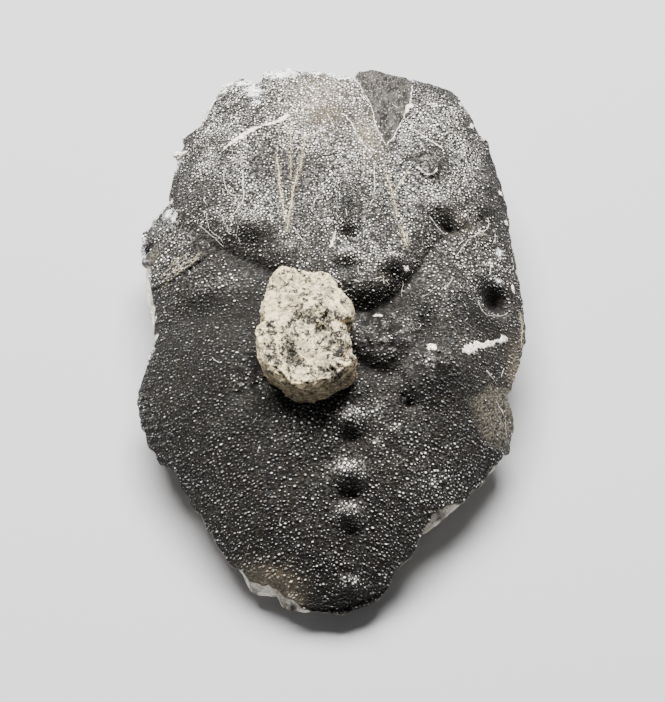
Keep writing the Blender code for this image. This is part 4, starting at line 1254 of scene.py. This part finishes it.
def shell_colour(paint, dust_and_highlight_strength):
    """The shell's own colour, with what lies on it: dust with painted highlights, stain, streaks,
    white crust with painted highlights on scar rims, and painted shade in black.
    """
    speck = paint.noise(0.26, 3.0, stretch=1.5)
    fine = paint.noise(0.12, 2.0)
    mottle = paint.steps(paint.noise(2.4, 4.0), 0.40, 0.68)
    lighter = paint.mix(mottle, SHELL_GREY, SHELL_BROWN)
    colour = paint.mix(paint.steps(speck, 0.46, 0.64), SHELL_BLACK, lighter)
    # painted shade: the shell's colour goes to black under the painted-shade mask
    colour = paint.mix(paint.times(paint.value("painted_shade"), 0.85), colour, SHELL_BLACK)
    stained = paint.times(paint.value("stain"), paint.steps(fine, 0.30, 0.55))
    colour = paint.mix(paint.times(stained, 0.75), colour, ROCK_TAN)
    grainy = paint.plus(paint.times(speck, 0.5),
                        paint.times(fine, 0.5))
    # dust and painted highlights: pale grey laid under the dust-and-highlight mask
    dust_and_highlight_cover = paint.times(paint.steps(grainy, 0.50, 0.60), paint.value("dust_and_highlight"))
    colour = paint.mix(paint.times(dust_and_highlight_cover, dust_and_highlight_strength), colour, DUST_AND_HIGHLIGHT_GREY)
    streaked = paint.times(paint.value("streak"), paint.steps(grainy, 0.47, 0.57))
    colour = paint.mix(paint.times(streaked, 0.7), colour, STREAK)
    ragged = paint.plus(paint.noise(0.8, 4.0), paint.times(fine, 0.9))
    # white crust, with the painted highlights on the lit side of scar rims
    crust_and_rim_highlight = paint.times(paint.value("crust_and_rim_highlight"), 0.5)
    crusted = paint.steps(paint.plus(crust_and_rim_highlight, ragged), 1.27, 1.36)
    crust_colour = paint.mix(paint.steps(paint.noise(0.5, 4.0), 0.40, 0.54), CRUST_DULL, CRUST_AND_HIGHLIGHT_WHITE)
    return paint.mix(crusted, colour, crust_colour), speck


def shell_material():
    paint = Paint("shell")
    colour, speck = shell_colour(paint, 0.58)
    wedge = paint.mix(paint.steps(paint.noise(1.6, 4.0, stretch=0.35), 0.38, 0.62),
                      WEDGE_BLACK, WEDGE_GREY)
    wedge = paint.mix(paint.steps(paint.noise(0.36, 4.0, stretch=0.5), 0.55, 0.66), wedge,
                      WEDGE_PALE)
    colour = paint.mix(paint.value("wedge"), colour, wedge)
    bare_share = paint.times(paint.value("bare"),
                            paint.steps(paint.noise(0.45, 4.0), 0.34, 0.54))
    bare = paint.mix(paint.steps(speck, 0.40, 0.62), BARE_DARK, BARE_TAN)
    colour = paint.mix(bare_share, colour, bare)
    rim = paint.mix(paint.steps(paint.noise(0.7, 4.0), 0.40, 0.60), RIM_DARK, RIM_TAN)
    colour = paint.mix(paint.value("broken"), colour, rim)
    roughness = paint.steps(paint.noise(0.8), 0.3, 0.7, 0.46, 0.64)
    roughness = paint.plus(roughness, paint.times(paint.value("painted_shade"), 0.25))
    paint.shader.inputs["Specular IOR Level"].default_value = 0.10
    return paint.finish(colour, roughness, [(paint.noise(0.42, 4.0, stretch=1.5), 0.26),
                                            (paint.noise(0.14, 3.0), 0.06)])


def granule_material():
    paint = Paint("granules")
    colour, _ = shell_colour(paint, 0.46)
    # pale tips from wear and painted highlights, dimmed by painted shade
    tip = paint.times(paint.value("tip"), paint.value("wear_and_light"))
    tip_colour = paint.mix(paint.value("streak"), WORN_AND_LIT_TIP, STREAKED_TIP)
    colour = paint.mix(paint.steps(tip, 0.22, 0.66), colour, tip_colour)
    paint.shader.inputs["Specular IOR Level"].default_value = 0.85
    return paint.finish(colour, 0.32, [(paint.noise(0.14, 2.0), 0.02)])


def rock_material(name, pale, tan, dark, speckle, roughness):
    paint = Paint(name)
    blotch = paint.plus(paint.noise(2.0, 5.0), paint.times(
                                                                 paint.noise(0.35, 3.0), 0.6))
    colour = paint.mix(paint.steps(blotch, 0.66, 0.98), pale, tan)
    colour = paint.mix(paint.steps(paint.noise(0.22, 3.0), 0.60 - speckle, 0.74), colour, dark)
    # painted shade in the pits
    colour = paint.mix(paint.value("pit_shade"), colour, dark)
    return paint.finish(colour, roughness, [(paint.noise(0.4, 5.0), 0.18),
                                            (paint.noise(0.11, 3.0), 0.08)])


def lump_material():
    paint = Paint("lump_rock")
    fine = paint.noise(0.30, 4.0)
    blotch = paint.plus(paint.noise(1.4, 4.0), paint.times(fine, 0.8))
    colour = paint.mix(paint.steps(blotch, 0.86, 1.04), LUMP_CREAM, LUMP_TAN)
    crowd = paint.times(paint.value("speckled"), 0.12)
    grains = paint.plus(paint.noise(0.75, 6.0, 0.74), crowd)
    crumbs = paint.steps(paint.noise(0.34, 4.0, 0.7), 0.38, 0.50)
    greyed = paint.times(paint.steps(grains, 0.50, 0.60), 0.55)
    colour = paint.mix(greyed, colour, LUMP_GREY)
    darkened = paint.times(paint.steps(grains, 0.535, 0.575), crumbs)
    colour = paint.mix(darkened, colour, LUMP_DARK)
    # painted shade in the hollows
    colour = paint.mix(paint.value("pit_shade"), colour, LUMP_DARK)
    # fibrous strata of the near face, in darker browns as painted shade
    shaded_fibres = paint.mix(paint.steps(paint.noise(0.35, 4.0, stretch=2.5), 0.42, 0.60), LUMP_SHADED_BROWN,
                       LUMP_TAN)
    colour = paint.mix(paint.times(paint.value("shaded_near_face"), 0.92), colour, shaded_fibres)
    paint.shader.inputs["Specular IOR Level"].default_value = 0.12
    return paint.finish(colour, 0.9, [(paint.noise(0.6, 5.0), 0.30),
                                      (paint.noise(0.2, 3.0), 0.12)])


def calcite_material(name, bright, dull):
    paint = Paint(name)
    colour = paint.mix(paint.steps(paint.noise(0.30, 4.0), 0.40, 0.58), dull, bright)
    return paint.finish(colour, 0.7, [(paint.noise(0.30, 4.0, stretch=1.6), 0.16)])


make_camera()
make_surroundings()
make_shell(shell_material())
make_granules(granule_material())
make_markings(calcite_material("calcite", CALCITE, CALCITE_DULL),
              calcite_material("tan_calcite", TAN_CALCITE, TAN_CALCITE_DULL))
make_infill(rock_material("infill_rock", ROCK_PALE, INFILL_TAN, ROCK_DARK, 0.06, 0.85))
make_lump(lump_material())
